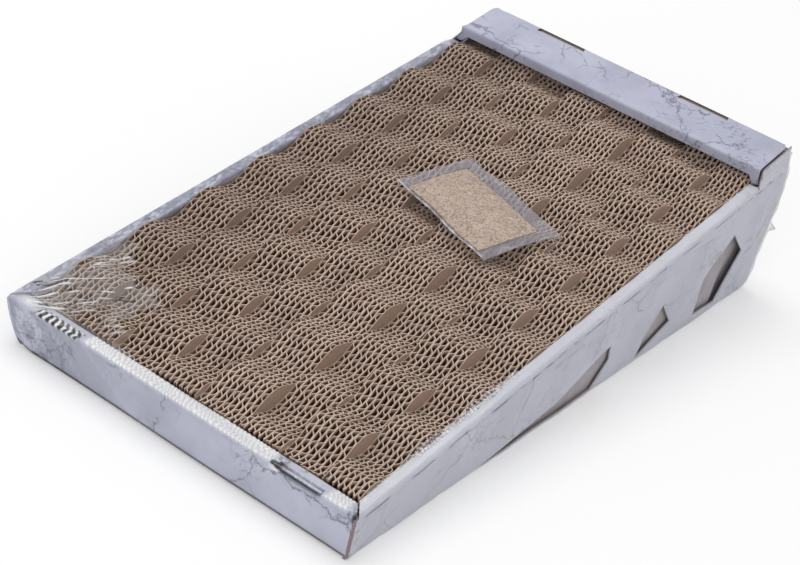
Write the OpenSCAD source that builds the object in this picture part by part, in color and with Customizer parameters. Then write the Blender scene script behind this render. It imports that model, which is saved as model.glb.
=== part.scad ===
// Cardboard cat scratcher: a folded wedge tray that holds a corrugated scratching pad on an inner ramp,
// with a hinged header flap over the pad's high end and a loose sachet of catnip on top.
// Millimetres, +X to the right, +Y to the high back end, +Z up, origin under the middle of the tray.

/* [Tray] */
// Width over the outer side walls
tray_w = 250; // [200:1:320]
// Length of the base panel
base_l = 446; // [400:1:560]
// Height of the front rim
front_h = 28; // [22:0.5:45]
// Height of the side rims where they reach the header
rear_rim_h = 88; // [60:0.5:110]
// Thickness of the tray's folded board
board_t = 2; // [1.2:0.1:3]
// Width of the rolled side rims
rim_w = 8; // [6:0.5:16]
// Width of the rolled front rim
front_rim_w = 11; // [8:0.5:20]
// How far the back wall bulges out past the base
back_bulge = 11; // [0:0.5:20]
// Setback of the hinge fold from the back wall's fold
hinge_setback = 7; // [0:0.5:12]
// Height of the back wall's fold
back_fold_h = 70; // [40:1:85]
// Gap at the mitred rim corners
mitre_gap = 1; // [0.2:0.1:2]

/* [Lock tabs] */
// Distance of each front lock slot from the side of the tray
front_slot_inset = 24; // [18:0.5:50]
// Width of each front lock slot
front_slot_w = 31; // [15:0.5:45]
// Depth of each front lock slot from the front fold
front_slot_d = 5; // [4.5:0.1:8]
// Distance of each rear lock slot from the side of the tray
rear_slot_inset = 48; // [10:0.5:60]
// Width of each rear lock slot
rear_slot_w = 39; // [20:0.5:50]
// Depth of each rear lock slot from the hinge fold
rear_slot_d = 5; // [4.5:0.1:8]
// Side play of a lock tab in its slot
tab_play = 1.5; // [0.5:0.1:3]
// How deep a lock tab ends below the surface around it
tab_recess = 1; // [0.4:0.1:1.5]
// How far each front corner flap reaches along the front wall
front_flap_w = 62; // [20:1:90]
// How far each rear corner flap reaches along the back wall
rear_flap_w = 88; // [40:1:110]

/* [Header] */
// Depth of the header along the tray
header_d = 38; // [25:0.5:55]
// Height of the header's front edge over the ends of the side rims
header_lift = 12; // [10:0.5:20]
// Rise of the header from its front edge to its hinge fold
header_rise = 7; // [0:0.5:20]
// Height of the lip folded down at the header's front
lip_h = 7; // [4:0.5:8]
// Side gap between the header and the walls beside it
header_side_gap = 0.4; // [0.3:0.1:1.5]
// Gap under the header where it rests on the walls
header_rest_gap = 0.3; // [0.2:0.1:1]

/* [Claw windows] */
// Distance from the back end of the high window to the back wall's fold
high_window_inset = 38; // [30:1:60]
// Distance between the middle and the high window
high_window_gap = 35; // [10:1:60]
// Distance between the low and the middle window
low_window_gap = 38; // [10:1:60]
// Length of the long low window
low_window_l = 138; // [60:1:160]
// Height of the long low window
low_window_h = 27; // [12:0.5:34]
// Height of the long low window's foot above the floor
low_window_foot = 3; // [3:0.1:8]
// Length of the middle window
mid_window_l = 38; // [20:1:50]
// Height of the middle window
mid_window_h = 32; // [15:0.5:45]
// Height of the middle window's foot above the floor
mid_window_foot = 4; // [3:0.1:12]
// Length of the high window
high_window_l = 53; // [25:1:60]
// Height of the high window
high_window_h = 51; // [20:0.5:62]
// Height of the high window's foot above the floor
high_window_foot = 7; // [3:0.1:12]

/* [Scratching pad] */
// Thickness of one corrugated board with its glue line
board_pitch = 3.65; // [2.5:0.05:5]
// Width of a glue line between two boards
glue_gap = 0.15; // [0.1:0.05:0.4]
// Depth of the glue lines under the boards' cut edges
glue_recess = 0.6; // [0.2:0.1:2]
// Height of the boards from the ramp to the level of the rims
pad_h = 25; // [18:0.5:25]
// Distance from the pad's back end to the back edge of the base
pad_back_inset = 4.6; // [4.2:0.1:30]
// Distance from one wave crest to the next
wave_pitch = 50; // [25:1:90]
// Half height of the tallest waves
wave_rise = 6.5; // [2:0.25:8]
// Spread of the blocks' mean levels about the rims
level_spread = 2.5; // [0:0.25:3]
// Distance of the first crest from the pad's front end
first_crest = 30.5; // [0:0.5:60]
// Play between the pad and the walls around it
pad_play = 0.15; // [0.1:0.05:1]

/* [Ramp] */
// Distance of the middle leg from the tray's front
middle_leg_y = 228; // [120:1:330]
// Gap between the rear leg and the rear corner flaps
rear_leg_gap = 2; // [0.5:0.5:20]

/* [Sachet] */
// Length of the catnip sachet
sachet_l = 92; // [60:1:110]
// Width of the catnip sachet
sachet_w = 59; // [40:1:80]
// Sideways place of the sachet's middle
sachet_x = 15.5; // [-40:0.5:40]
// Place of the sachet's middle along the slope
sachet_s = 253.5; // [120:0.5:330]
// Turn of the sachet on the pad
sachet_turn = -18; // [-45:1:45]
// Thickness of the sachet's film
pouch_t = 0.3; // [0.2:0.05:0.6]
// Width of the wide seal along the back
long_seal = 11; // [5:0.5:14]
// Width of the seal at the left end
left_seal = 9; // [4:0.5:14]
// Width of the seal at the right end
right_seal = 8; // [4:0.5:14]
// Width of the flattened fold along the front
fold_w = 1.5; // [1:0.5:5]
// Height of the sachet's upper side over its seals
upper_swell = 4.5; // [2:0.25:8]
// Depth of the sachet's lower side under its seals
lower_swell = 1.8; // [1:0.1:3]
// Gap between the filling and the film around it
filling_gap = 0.15; // [0.1:0.05:0.5]
// Gap between the sachet and the highest crest
sachet_seat = 0.3; // [0.1:0.1:1]

/* [Shrink film] */
// Thickness of the clear shrink film
film_t = 0.2; // [0.1:0.05:0.4]
// Height of the film's lower edge above the floor
film_hem = 1; // [0.5:0.5:5]

/* [Hidden] */

// Colours of the printed board, the plain board, the pad, the filling and the films
print_colour = "#b9bbd0";
plain_colour = "#9a9796";
kraft_colour = "#a98a6c";
pad_colour = "#b59a84";
pouch_colour = "#aaa6b0";
herb_colour = "#8f8a5c";
film_colour = "#eef2f8";
film_alpha = 0.15;

// Overrun of a cut past the face that it opens
cut_over = 1;

// Heights of the header
header_front_h = rear_rim_h + header_lift;
header_back_h = header_front_h + header_rise;

// Places along Y
back_y = base_l + back_bulge;
header_back_y = back_y - hinge_setback;
header_y = header_back_y - header_d;
frame_mid_y = back_y / 2;
high_window_y = back_y - high_window_inset - high_window_l;
mid_window_y = high_window_y - high_window_gap - mid_window_l;
low_window_y = mid_window_y - low_window_gap - low_window_l;

// Half widths: outer face, inside of the outer wall, outside and inside of the inner wall
half_w = tray_w / 2;
half_in = half_w - board_t;
half_liner = half_w - rim_w + board_t;
half_pad_room = half_w - rim_w;

// Middles of the lock slots along X
front_slot_x = half_w - front_slot_inset - front_slot_w / 2;
rear_slot_x = half_w - rear_slot_inset - rear_slot_w / 2;

// Slopes of the side rims and of the header
rim_tan = (rear_rim_h - front_h) / header_y;
rim_slope = atan(rim_tan);
rim_drop = board_t / cos(rim_slope);
header_tan = (header_back_h - header_front_h) / header_d;
header_slope = atan(header_tan);
header_drop = board_t / cos(header_slope);
header_l = header_d / cos(header_slope);

// Height of the rims' upper face at y
function rim_z(y) = front_h + rim_tan * y;
// Height of the header's upper face at y
function header_z(y) = header_front_h + header_tan * (y - header_y);
// Outer face of the folded back wall at height z
function back_face(z) = z < back_fold_h
    ? base_l + back_bulge * z / back_fold_h
    : back_y - (back_y - header_back_y) * (z - back_fold_h) / (header_back_h - back_fold_h);

// Tops of what stands under the header: the back wall and the corner flaps before it
back_wall_top = header_z(header_back_y) - header_drop - header_rest_gap;
rear_flap_top = header_z(header_back_y - 2 * board_t) - header_drop - header_rest_gap;

// Scratching pad: the boards fill the room between the inner walls, in blocks that share one wave
board_total = floor((2 * half_pad_room - 2 * pad_play) / board_pitch);
board_w = board_pitch - glue_gap;
pad_w = board_total * board_pitch;
block_count = 8;
block_end_shares = [0, 0.125, 0.266, 0.391, 0.516, 0.656, 0.766, 0.891, 1];
level_shares = [-0.6, -1, 0, -0.8, 0.6, -0.6, 0.2, -1];
wave_shares = [0.62, 0.46, 0.85, 0.46, 1, 0.46, 0.85, 0.46];
steps_per_wave = 8;
crest_top = max([for (i = [0:block_count - 1]) level_shares[i] * level_spread + wave_shares[i] * wave_rise]);
pad_s = (front_rim_w + pad_play + crest_top * sin(rim_slope)) / cos(rim_slope);
pad_l = (base_l - pad_back_inset - pad_h * sin(rim_slope)) / cos(rim_slope) - pad_s;
wave_steps = ceil(steps_per_wave * pad_l / wave_pitch);
function block_start(i) = round(board_total * block_end_shares[i]);
// Height of block i's upper edge over the rims, at distance d from the pad's front end
function wave_n(i, d) = level_spread * level_shares[i]
    + wave_rise * wave_shares[i] * cos(360 * (d - first_crest) / wave_pitch + 180 * (i % 2));

// Ramp: its upper face carries the pad, and its front edge stands just over the base
ramp_n = -pad_h - board_t;
ramp_s = (front_rim_w + pad_play + pad_play) / cos(rim_slope) - pad_h * tan(rim_slope);
function ramp_under(y) = front_h + rim_tan * y + ramp_n / cos(rim_slope);
rear_leg_y = base_l - 2 * board_t - rear_leg_gap - board_t;

// Outlines of the claw windows, as shares of their length and height
low_window_shares = [[0, 0], [0.57, 0.34], [0.88, 0.89], [0.98, 1], [1, 0.57], [0.89, 0.01], [0.48, 0.01]];
mid_window_shares = [[0, 0], [0.1, 0.43], [0.52, 1], [1, 0.41]];
high_window_shares = [[0, 0.03], [0, 0.55], [0.15, 0.69], [0.58, 1], [1, 0.62], [0.59, 0]];

// Sachet: the filled part between its seals, and its grid
sachet_n = crest_top + sachet_seat + lower_swell + pouch_t;
fill_x0 = left_seal - sachet_l / 2;
fill_x1 = sachet_l / 2 - right_seal;
fill_y0 = fold_w - sachet_w / 2;
fill_y1 = sachet_w / 2 - long_seal;
fill_cells_x = 12;
fill_cells_y = 9;
swell_power = 4;
function spread(a, b, cells) = [for (i = [0:cells]) a + (b - a) * i / cells];
sachet_xs = concat([-sachet_l / 2], spread(fill_x0, fill_x1, fill_cells_x), [sachet_l / 2]);
sachet_ys = concat([-sachet_w / 2], spread(fill_y0, fill_y1, fill_cells_y), [sachet_w / 2]);
function across(v, a, b) = min(1, abs((2 * v - a - b) / (b - a)));
// Swelling of the filled part, 1 in its middle and 0 at the seals
function swell(x, y) = (1 - pow(across(x, fill_x0, fill_x1), swell_power))
    * (1 - pow(across(y, fill_y0, fill_y1), swell_power));

// Moves a shape from the tray's front edge to the frame with its origin under the tray's middle
module in_frame() {
    translate([0, -frame_mid_y, 0])
        children();
}

// Frame of the slope: X across, Y up the slope from the front, Z out of the plane of the rims
module on_slope() {
    translate([0, 0, front_h])
        rotate([rim_slope, 0, 0])
            children();
}

// Frame of the header: its hinge fold lies on X, and it reaches forwards along -Y
module at_hinge() {
    translate([0, header_back_y, header_back_h])
        rotate([header_slope, 0, 0])
            children();
}

// A panel that stands along the tray: an outline in Y and Z, from x0 to x1
module upright(x0, x1, points) {
    translate([x0, 0, 0])
        rotate([90, 0, 90])
            linear_extrude(height = x1 - x0)
                polygon(points);
}

// A block between two corners
module block(low, high) {
    translate(low)
        cube(high - low);
}

// One claw window: its outline's shares scaled to its length and height, from x0 to x1
module window(x0, x1, shares, corner, length, height) {
    upright(x0, x1, [for (p = shares) [corner[0] + length * p[0], corner[1] + height * p[1]]]);
}

module claw_windows(x0, x1) {
    window(x0, x1, low_window_shares, [low_window_y, low_window_foot], low_window_l, low_window_h);
    window(x0, x1, mid_window_shares, [mid_window_y, mid_window_foot], mid_window_l, mid_window_h);
    window(x0, x1, high_window_shares, [high_window_y, high_window_foot], high_window_l, high_window_h);
}

module base_panel() {
    color(kraft_colour)
        in_frame()
            block([-half_in, board_t, 0], [half_in, base_l - board_t, board_t]);
}

module front_wall() {
    color(print_colour)
        in_frame()
            block([-half_in, 0, 0], [half_in, board_t, front_h - board_t]);
}

// The front rim is mitred at both ends and has a lock slot at each side of its outer fold
module front_rim() {
    color(print_colour)
        in_frame()
            difference() {
                translate([0, 0, front_h - board_t])
                    linear_extrude(height = board_t)
                        polygon([[-half_w, 0], [half_w, 0], [half_pad_room, front_rim_w],
                            [-half_pad_room, front_rim_w]]);
                for (side = [-1, 1])
                    block([side * front_slot_x - front_slot_w / 2, -cut_over, front_h - board_t - cut_over],
                        [side * front_slot_x + front_slot_w / 2, front_slot_d, front_h + cut_over]);
            }
}

module front_inner_wall() {
    color(print_colour)
        in_frame()
            block([-half_liner, front_rim_w - board_t, board_t],
                [half_liner, front_rim_w, front_h - board_t]);
}

// Corner flap behind the front wall, with the lock tab that stands in the front rim's slot
module front_flap() {
    tab_half = front_slot_w / 2 - tab_play;
    block([half_in - front_flap_w, board_t, board_t], [half_in, 2 * board_t, front_h - board_t]);
    block([front_slot_x - tab_half, board_t, board_t],
        [front_slot_x + tab_half, 2 * board_t, front_h - tab_recess]);
}

module front_left_flap() {
    color(print_colour)
        in_frame()
            mirror([1, 0, 0])
                front_flap();
}

module front_right_flap() {
    color(print_colour)
        in_frame()
            front_flap();
}

// Outer side wall: a wedge with a raised ear beside the header and three claw windows, cut down
// under the mitred end of the front rim
module side_wall() {
    mitre_y = board_t * front_rim_w / rim_w;
    difference() {
        upright(half_in, half_w, [[0, 0], [base_l, 0], [back_y, back_fold_h],
            [header_back_y, header_back_h], [header_y, header_front_h],
            [header_y, rim_z(header_y) - rim_drop], [mitre_y, rim_z(mitre_y) - rim_drop],
            [mitre_y, front_h - board_t], [0, front_h - board_t]]);
        claw_windows(half_in - cut_over, half_w + cut_over);
    }
}

module left_wall() {
    color(print_colour)
        in_frame()
            mirror([1, 0, 0])
                side_wall();
}

module right_wall() {
    color(print_colour)
        in_frame()
            side_wall();
}

module side_rim() {
    rim_end = (header_y - header_rest_gap) / cos(rim_slope);
    on_slope()
        translate([0, 0, -board_t])
            linear_extrude(height = board_t)
                polygon([[half_w, mitre_gap], [half_w, rim_end], [half_pad_room, rim_end],
                    [half_pad_room, front_rim_w + mitre_gap]]);
}

module left_rim() {
    color(print_colour)
        in_frame()
            mirror([1, 0, 0])
                side_rim();
}

module right_rim() {
    color(print_colour)
        in_frame()
            side_rim();
}

// Inner side wall: it rises behind the header's lip to carry the header's side
module inner_side_wall() {
    flap_face = 2 * board_t + pad_play;
    ledge_y = header_y + 2 * board_t;
    ledge_back = back_face(rear_flap_top) - flap_face;
    upright(half_pad_room, half_liner, [[front_rim_w, board_t],
        [back_face(board_t) - flap_face, board_t], [back_y - flap_face, back_fold_h],
        [ledge_back, header_z(ledge_back) - header_drop - header_rest_gap],
        [ledge_y, header_z(ledge_y) - header_drop - header_rest_gap],
        [ledge_y, rim_z(ledge_y) - rim_drop], [front_rim_w, rim_z(front_rim_w) - rim_drop]]);
}

module left_inner_wall() {
    color(plain_colour)
        in_frame()
            mirror([1, 0, 0])
                inner_side_wall();
}

module right_inner_wall() {
    color(plain_colour)
        in_frame()
            inner_side_wall();
}

// One layer of board that follows the folded back wall, set in by inset, from height low to high
module back_layer(x0, x1, inset, low, high) {
    face = [[back_face(low), low], [back_y, back_fold_h], [back_face(high), high]];
    upright(x0, x1, concat([for (p = face) [p[0] - inset, p[1]]],
        [for (i = [2, 1, 0]) [face[i][0] - inset - board_t, face[i][1]]]));
}

module back_wall() {
    color(print_colour)
        in_frame()
            back_layer(-half_in, half_in, 0, 0, back_wall_top);
}

// Corner flap before the back wall, with the lock tab that stands in the header's slot
module rear_flap() {
    tab_half = rear_slot_w / 2 - tab_play;
    back_layer(half_in - rear_flap_w, half_in, board_t, board_t, rear_flap_top);
    back_layer(rear_slot_x - tab_half, rear_slot_x + tab_half, board_t, board_t,
        header_z(header_back_y - rear_slot_d) - tab_recess);
}

module rear_left_flap() {
    color(plain_colour)
        in_frame()
            mirror([1, 0, 0])
                rear_flap();
}

module rear_right_flap() {
    color(plain_colour)
        in_frame()
            rear_flap();
}

// The header swings on the fold at its back edge, which its two lock slots interrupt
module header_top() {
    reach = half_in - header_side_gap;
    color(print_colour)
        in_frame()
            at_hinge()
                difference() {
                    block([-reach, -header_l, -board_t], [reach, 0, 0]);
                    for (side = [-1, 1])
                        block([side * rear_slot_x - rear_slot_w / 2, -rear_slot_d, -board_t - cut_over],
                            [side * rear_slot_x + rear_slot_w / 2, cut_over, cut_over]);
                }
}

module header_lip() {
    reach = half_in - header_side_gap;
    color(print_colour)
        in_frame()
            at_hinge()
                block([-reach, -header_l, -lip_h], [reach, board_t - header_l, -board_t]);
}

module ramp_panel() {
    reach = half_pad_room - pad_play;
    ramp_end = (back_face(ramp_under(base_l)) - 2 * board_t - rear_leg_gap) / cos(rim_slope)
        - pad_h * tan(rim_slope);
    color(kraft_colour)
        in_frame()
            on_slope()
                block([-reach, ramp_s, ramp_n], [reach, ramp_end, ramp_n + board_t]);
}

// A leg across the tray from the base to the ramp's under side
module ramp_leg(y) {
    reach = half_pad_room - pad_play;
    upright(-reach, reach, [[y, board_t], [y + board_t, board_t],
        [y + board_t, ramp_under(y + board_t)], [y, ramp_under(y)]]);
}

module ramp_middle_leg() {
    color(kraft_colour)
        in_frame()
            ramp_leg(middle_leg_y);
}

module ramp_rear_leg() {
    color(kraft_colour)
        in_frame()
            ramp_leg(rear_leg_y);
}

// Side view of block i from its under side to its wave, cut back by drop at its ends and its top
function block_outline(i, drop) = concat([[pad_l - drop, -pad_h], [drop, -pad_h]],
    [for (k = [0:wave_steps], d = drop + (pad_l - 2 * drop) * k / wave_steps) [d, wave_n(i, d) - drop]]);

// One block of the pad: boards on edge, glued side by side, with one wave cut along their tops
module scratch_block(i) {
    first = block_start(i);
    last = block_start(i + 1) - 1;
    color(pad_colour)
        in_frame()
            on_slope()
                translate([-pad_w / 2 + glue_gap / 2, pad_s, 0]) {
                    upright(first * board_pitch, last * board_pitch + board_w, block_outline(i, glue_recess));
                    for (k = [first:last])
                        upright(k * board_pitch, k * board_pitch + board_w, block_outline(i, 0));
                }
}

// A closed sheet between two surfaces over the grid xs by ys: low and high hold their heights
module sheet(xs, ys, low, high) {
    nx = len(xs);
    ny = len(ys);
    count = nx * ny;
    rim = concat([for (i = [0:nx - 1]) i], [for (j = [1:ny - 1]) j * nx + nx - 1],
        [for (i = [1:nx - 1]) (ny - 1) * nx + nx - 1 - i], [for (j = [1:ny - 2]) (ny - 1 - j) * nx]);
    points = concat([for (j = [0:ny - 1], i = [0:nx - 1]) [xs[i], ys[j], low[j][i]]],
        [for (j = [0:ny - 1], i = [0:nx - 1]) [xs[i], ys[j], high[j][i]]]);
    cells = [for (j = [0:ny - 2], i = [0:nx - 2]) j * nx + i];
    faces = concat([for (c = cells) [c, c + 1, c + nx + 1]], [for (c = cells) [c, c + nx + 1, c + nx]],
        [for (c = cells) [count + c, count + c + nx + 1, count + c + 1]],
        [for (c = cells) [count + c, count + c + nx, count + c + nx + 1]],
        [for (k = [0:len(rim) - 1]) [rim[k], count + rim[k], count + rim[(k + 1) % len(rim)]]],
        [for (k = [0:len(rim) - 1]) [rim[k], count + rim[(k + 1) % len(rim)], rim[(k + 1) % len(rim)]]]);
    polyhedron(points = points, faces = faces);
}

module on_sachet() {
    in_frame()
        on_slope()
            translate([sachet_x, sachet_s, sachet_n])
                rotate([0, 0, sachet_turn])
                    children();
}

// Heights of the swelling over a grid, times a height, plus an offset
function swell_grid(xs, ys, height, offset) = [for (y = ys) [for (x = xs) height * swell(x, y) + offset]];

module sachet_upper_film() {
    color(pouch_colour)
        on_sachet()
            sheet(sachet_xs, sachet_ys, swell_grid(sachet_xs, sachet_ys, upper_swell, 0),
                swell_grid(sachet_xs, sachet_ys, upper_swell, pouch_t));
}

module sachet_lower_film() {
    color(pouch_colour)
        on_sachet()
            sheet(sachet_xs, sachet_ys, swell_grid(sachet_xs, sachet_ys, -lower_swell, -pouch_t),
                swell_grid(sachet_xs, sachet_ys, -lower_swell, 0));
}

// The dried leaf follows the facets of both films, and ends one cell of their grid inside the seals
module catnip_filling() {
    xs = [for (k = [1:fill_cells_x - 1]) sachet_xs[k + 1]];
    ys = [for (k = [1:fill_cells_y - 1]) sachet_ys[k + 1]];
    color(herb_colour)
        on_sachet()
            sheet(xs, ys, swell_grid(xs, ys, -lower_swell, filling_gap),
                swell_grid(xs, ys, upper_swell, -filling_gap));
}

// Clear film drawn tight round the tray's four sides, open over the claw windows
module shrink_film() {
    film_face = half_w + film_t;
    color(film_colour, film_alpha)
        in_frame() {
            for (side = [0, 1])
                mirror([side, 0, 0])
                    difference() {
                        upright(half_w, film_face, [[-film_t, film_hem], [back_face(film_hem), film_hem],
                            [back_y, back_fold_h], [back_face(back_wall_top), back_wall_top],
                            [header_y, header_front_h], [header_y, rear_rim_h], [0, front_h],
                            [-film_t, front_h]]);
                        claw_windows(half_w - cut_over, film_face + cut_over);
                    }
            block([-half_w, -film_t, film_hem], [half_w, 0, front_h]);
            upright(-film_face, film_face, [[back_face(film_hem), film_hem], [back_y, back_fold_h],
                [back_face(back_wall_top), back_wall_top],
                [back_face(back_wall_top) + film_t, back_wall_top], [back_y + film_t, back_fold_h],
                [back_face(film_hem) + film_t, film_hem]]);
        }
}

base_panel();
front_wall();
front_rim();
front_inner_wall();
front_left_flap();
front_right_flap();
left_wall();
right_wall();
left_rim();
right_rim();
left_inner_wall();
right_inner_wall();
back_wall();
rear_left_flap();
rear_right_flap();
header_top();
header_lip();
ramp_panel();
ramp_middle_leg();
ramp_rear_leg();
scratch_block(0);  // scratch_block_1
scratch_block(1);  // scratch_block_2
scratch_block(2);  // scratch_block_3
scratch_block(3);  // scratch_block_4
scratch_block(4);  // scratch_block_5
scratch_block(5);  // scratch_block_6
scratch_block(6);  // scratch_block_7
scratch_block(7);  // scratch_block_8
sachet_upper_film();
sachet_lower_film();
catnip_filling();
shrink_film();
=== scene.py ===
import math
from functools import partial

import bmesh
import bpy
import numpy as np
from mathutils import Matrix, Vector
from mathutils.geometry import delaunay_2d_cdt


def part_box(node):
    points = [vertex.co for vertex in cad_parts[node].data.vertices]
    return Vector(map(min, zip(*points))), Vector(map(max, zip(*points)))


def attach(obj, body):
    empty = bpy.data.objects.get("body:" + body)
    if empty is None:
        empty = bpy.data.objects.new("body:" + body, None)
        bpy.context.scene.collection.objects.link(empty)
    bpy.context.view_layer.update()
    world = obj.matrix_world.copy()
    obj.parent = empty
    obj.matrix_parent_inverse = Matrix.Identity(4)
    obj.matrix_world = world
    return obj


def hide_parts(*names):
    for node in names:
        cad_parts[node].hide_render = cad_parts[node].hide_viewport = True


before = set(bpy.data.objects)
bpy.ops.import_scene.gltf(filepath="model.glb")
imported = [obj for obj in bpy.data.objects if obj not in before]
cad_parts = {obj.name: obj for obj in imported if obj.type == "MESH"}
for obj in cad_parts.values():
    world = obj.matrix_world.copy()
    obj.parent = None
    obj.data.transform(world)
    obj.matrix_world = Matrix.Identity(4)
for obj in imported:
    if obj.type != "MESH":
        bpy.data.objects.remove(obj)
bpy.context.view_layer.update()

bl_info = {
    "name": "Cardboard Cat Scratcher",
    "version": (1, 0, 0),
    "blender": (4, 5, 0),
    "location": "View3D > Sidebar > Scratcher",
    "description": "Dresses the packed cat scratcher: folded tray, corrugated pad, header, sachet and film",
    "category": "Object",
}

MM = 0.001
SEED = 20
WHITE = (1, 1, 1, 1)
FLOOR_WHITE = (0.82, 0.82, 0.82, 1)
PAPER_IOR = 1.45
# Length of a flute of the tray's thin board
EDGE_FLUTE = 4 * MM
# Distance that the points inside a board keep from its edges, and the least length of a piece of an edge
CLEAR = 0.25 * MM
LEAST_EDGE = 0.05 * MM
# Faces that meet at more than this angle show a sharp edge
SHARP_ANGLE = math.radians(38)
# Spacing of a straight liner's points, and points on each flute of the pad's medium
LINER_STEP = 1.3 * MM
FLUTE_POINTS = 16
# Faces round a quarter bend of a board
FOLD_STEPS = 5
# How far the pouch lies from the CAD's place, across the pad and along it
POUCH_SHIFT = (-1 * MM, 2 * MM)


def mesh_points(mesh):
    """Vertices of a mesh, one row each, in metres."""
    points = np.empty(len(mesh.vertices) * 3, np.float32)
    mesh.vertices.foreach_get("co", points)
    return points.reshape(-1, 3).astype(float)


def node_points(node):
    """Vertices of a CAD node at rest."""
    return mesh_points(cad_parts[node].data)


def slope_of(node):
    """Angle of a sloping sheet's upper face: from its front vertex up to its highest one."""
    points = node_points(node)
    front = points[points[:, 1].argmin()]
    top = points[points[:, 2].argmax()]
    return math.atan2(top[2] - front[2], top[1] - front[1])


# Main sizes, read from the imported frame
HALF_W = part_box("right_wall")[1].x
FRONT_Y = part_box("front_wall")[0].y
BACK_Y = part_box("right_wall")[1].y
FRONT_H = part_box("front_rim")[1].z
BOARD_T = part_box("base_panel")[1].z
BASE_BACK_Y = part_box("base_panel")[1].y + BOARD_T
PAD_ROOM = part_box("front_rim")[1].x - (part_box("right_rim")[1].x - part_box("right_rim")[0].x)
FRONT_RIM_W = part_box("front_rim")[1].y - FRONT_Y
RIM_SLOPE = slope_of("right_rim")
HEADER_SLOPE = slope_of("header_top")
HINGE_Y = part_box("header_top")[1].y - BOARD_T * math.sin(HEADER_SLOPE)
HINGE_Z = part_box("header_top")[1].z
HEADER_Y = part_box("header_top")[0].y
HEADER_HALF_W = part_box("header_top")[1].x
HEADER_REACH = (HINGE_Y - HEADER_Y) / math.cos(HEADER_SLOPE)
WALL_FRONT_Z = HINGE_Z - HEADER_REACH * math.sin(HEADER_SLOPE)
LIP_DROP = WALL_FRONT_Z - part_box("header_lip")[0].z
BACK_FOLD_Z = max(node_points("right_wall").tolist(), key=lambda point: point[1])[2]


# Properties of the groups below: a length, a share, an angle, a count, a place and a colour
def length(name, description, default):
    return bpy.props.FloatProperty(name=name, description=description, default=default, min=0.0,
                                   subtype="DISTANCE", unit="LENGTH")


def turn(name, description, degrees):
    return bpy.props.FloatProperty(name=name, description=description, default=math.radians(degrees),
                                   subtype="ANGLE", unit="ROTATION")


def count(name, description, default):
    return bpy.props.IntProperty(name=name, description=description, default=default, min=0)


def spot(name, description, default):
    return bpy.props.FloatVectorProperty(name=name, description=description, default=default, size=3,
                                         subtype="TRANSLATION", unit="LENGTH")


def paint(name, description, default):
    return bpy.props.StringProperty(name=name, description=description + ", as an sRGB hex value",
                                    default=default)


def share(name, description, default, least=0.0):
    return bpy.props.FloatProperty(name=name, description=description, default=default, min=least, max=1.0,
                                   subtype="FACTOR")


class ScratcherTray(bpy.types.PropertyGroup):
    fold_radius: length("Fold Radius", "Radius of the tray's folded edges", 1.7 * MM)
    cell: length("Cell", "Spacing of the points on a board's faces", 8 * MM)
    lean: length("Ear Lean", "How far the film pulls the left ear in at its top", 9 * MM)
    crush: length("Corner Crush", "How far the film pulls the front left corner in at the floor", 9 * MM)
    bow: length("Board Bow", "Depth of the slow bulges in the outer walls", 0.7 * MM)
    print_colour: paint("Print", "Ground colour of the printed board", "#b9bbcf")
    vein_colour: paint("Veins", "Colour of the printed veins and flecks", "#55566a")
    plain_colour: paint("Plain Liner", "Colour of the unprinted grey liner", "#b4afb4")
    kraft_colour: paint("Kraft", "Colour of the raw liner of the inner panels", "#958a84")
    slot_colour: paint("Slot Edge", "Colour of the raw edges of the header's slots", "#776655")
    edge_colour: paint("Board Edge", "Colour of the worn edges of the tray's boards", "#a08e91")
    # Colour and height of a painted shadow along the crease at the foot of the front wall
    crease_colour: paint("Crease", "Colour of the worn crease at the foot of the front wall", "#26242c")
    crease_height: length("Crease Height", "Height of that crease's upper edge over the floor", 3.2 * MM)


class ScratcherPad(bpy.types.PropertyGroup):
    board_pitch: length("Board Pitch", "Thickness of one corrugated board", 3.65 * MM)
    flute_pitch: length("Flute Pitch", "Length of one flute of the medium", 8.2 * MM)
    liner: length("Liner", "Thickness of one liner with its fuzz", 0.34 * MM)
    medium: length("Medium", "Thickness of the fluted medium with its fuzz", 0.55 * MM)
    depth: length("Depth", "Height of the boards under the level of the rims", 25 * MM)
    wave_pitch: length("Wave Pitch", "Distance from one crest to the next", 50 * MM)
    wave_rise: length("Wave Rise", "Half height of the waves", 3.75 * MM)
    level_spread: length("Level Spread", "Depth of the lowest block's mean level under the rims", 3.6 * MM)
    flank: share("Flank", "Steepness of the flutes: 1 is a sine wave, less is squarer", 0.38, least=0.2)
    fray: length("Fray", "Unevenness of the sawn edges", 0.22 * MM)
    face_colour: paint("Board Face", "Colour of the boards' faces", "#ab9282")
    edge_colour: paint("Cut Edge", "Colour of the sawn edges", "#ddc5b4")
    # The deep colour is painted shade: the flutes darken towards it with their depth
    deep_colour: paint("Deep", "Colour of the board deep in the flutes", "#4a362b")


class ScratcherSachet(bpy.types.PropertyGroup):
    length: length("Length", "Length of the pouch", 92 * MM)
    width: length("Width", "Width of the pouch", 59 * MM)
    turn: turn("Turn", "Turn of the pouch on the pad", -18)
    left_seal: length("Left Seal", "Width of the seal at the left end", 9 * MM)
    right_seal: length("Right Seal", "Width of the seal at the right end", 8 * MM)
    long_seal: length("Long Seal", "Width of the seal along the back", 11 * MM)
    fold: length("Fold", "Flat strip along the folded front edge", 1.5 * MM)
    swell: length("Swell", "Height of the filling over the seals", 4.3 * MM)
    belly: length("Belly", "Depth of the filling under the seals", 3.2 * MM)
    sag: length("Sag", "How far the middle sinks onto the pad", 1.9 * MM)
    droop: length("Droop", "How much further the corners hang", 2.6 * MM)
    film_colour: paint("Pouch", "Tint of the frosted film", "#a8a2ad")
    leaf_colour: paint("Leaf", "Colour of the light flakes", "#dcc6b2")
    stalk_colour: paint("Stalk", "Colour of the dark flakes", "#907860")
    # The pouch's white creases and front fold are painted highlights
    crease_colour: paint("Pouch Crease", "Colour of the film's white creases", "#efeff1")
    flakes: count("Flakes", "Number of flakes on the filling", 1500)


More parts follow.
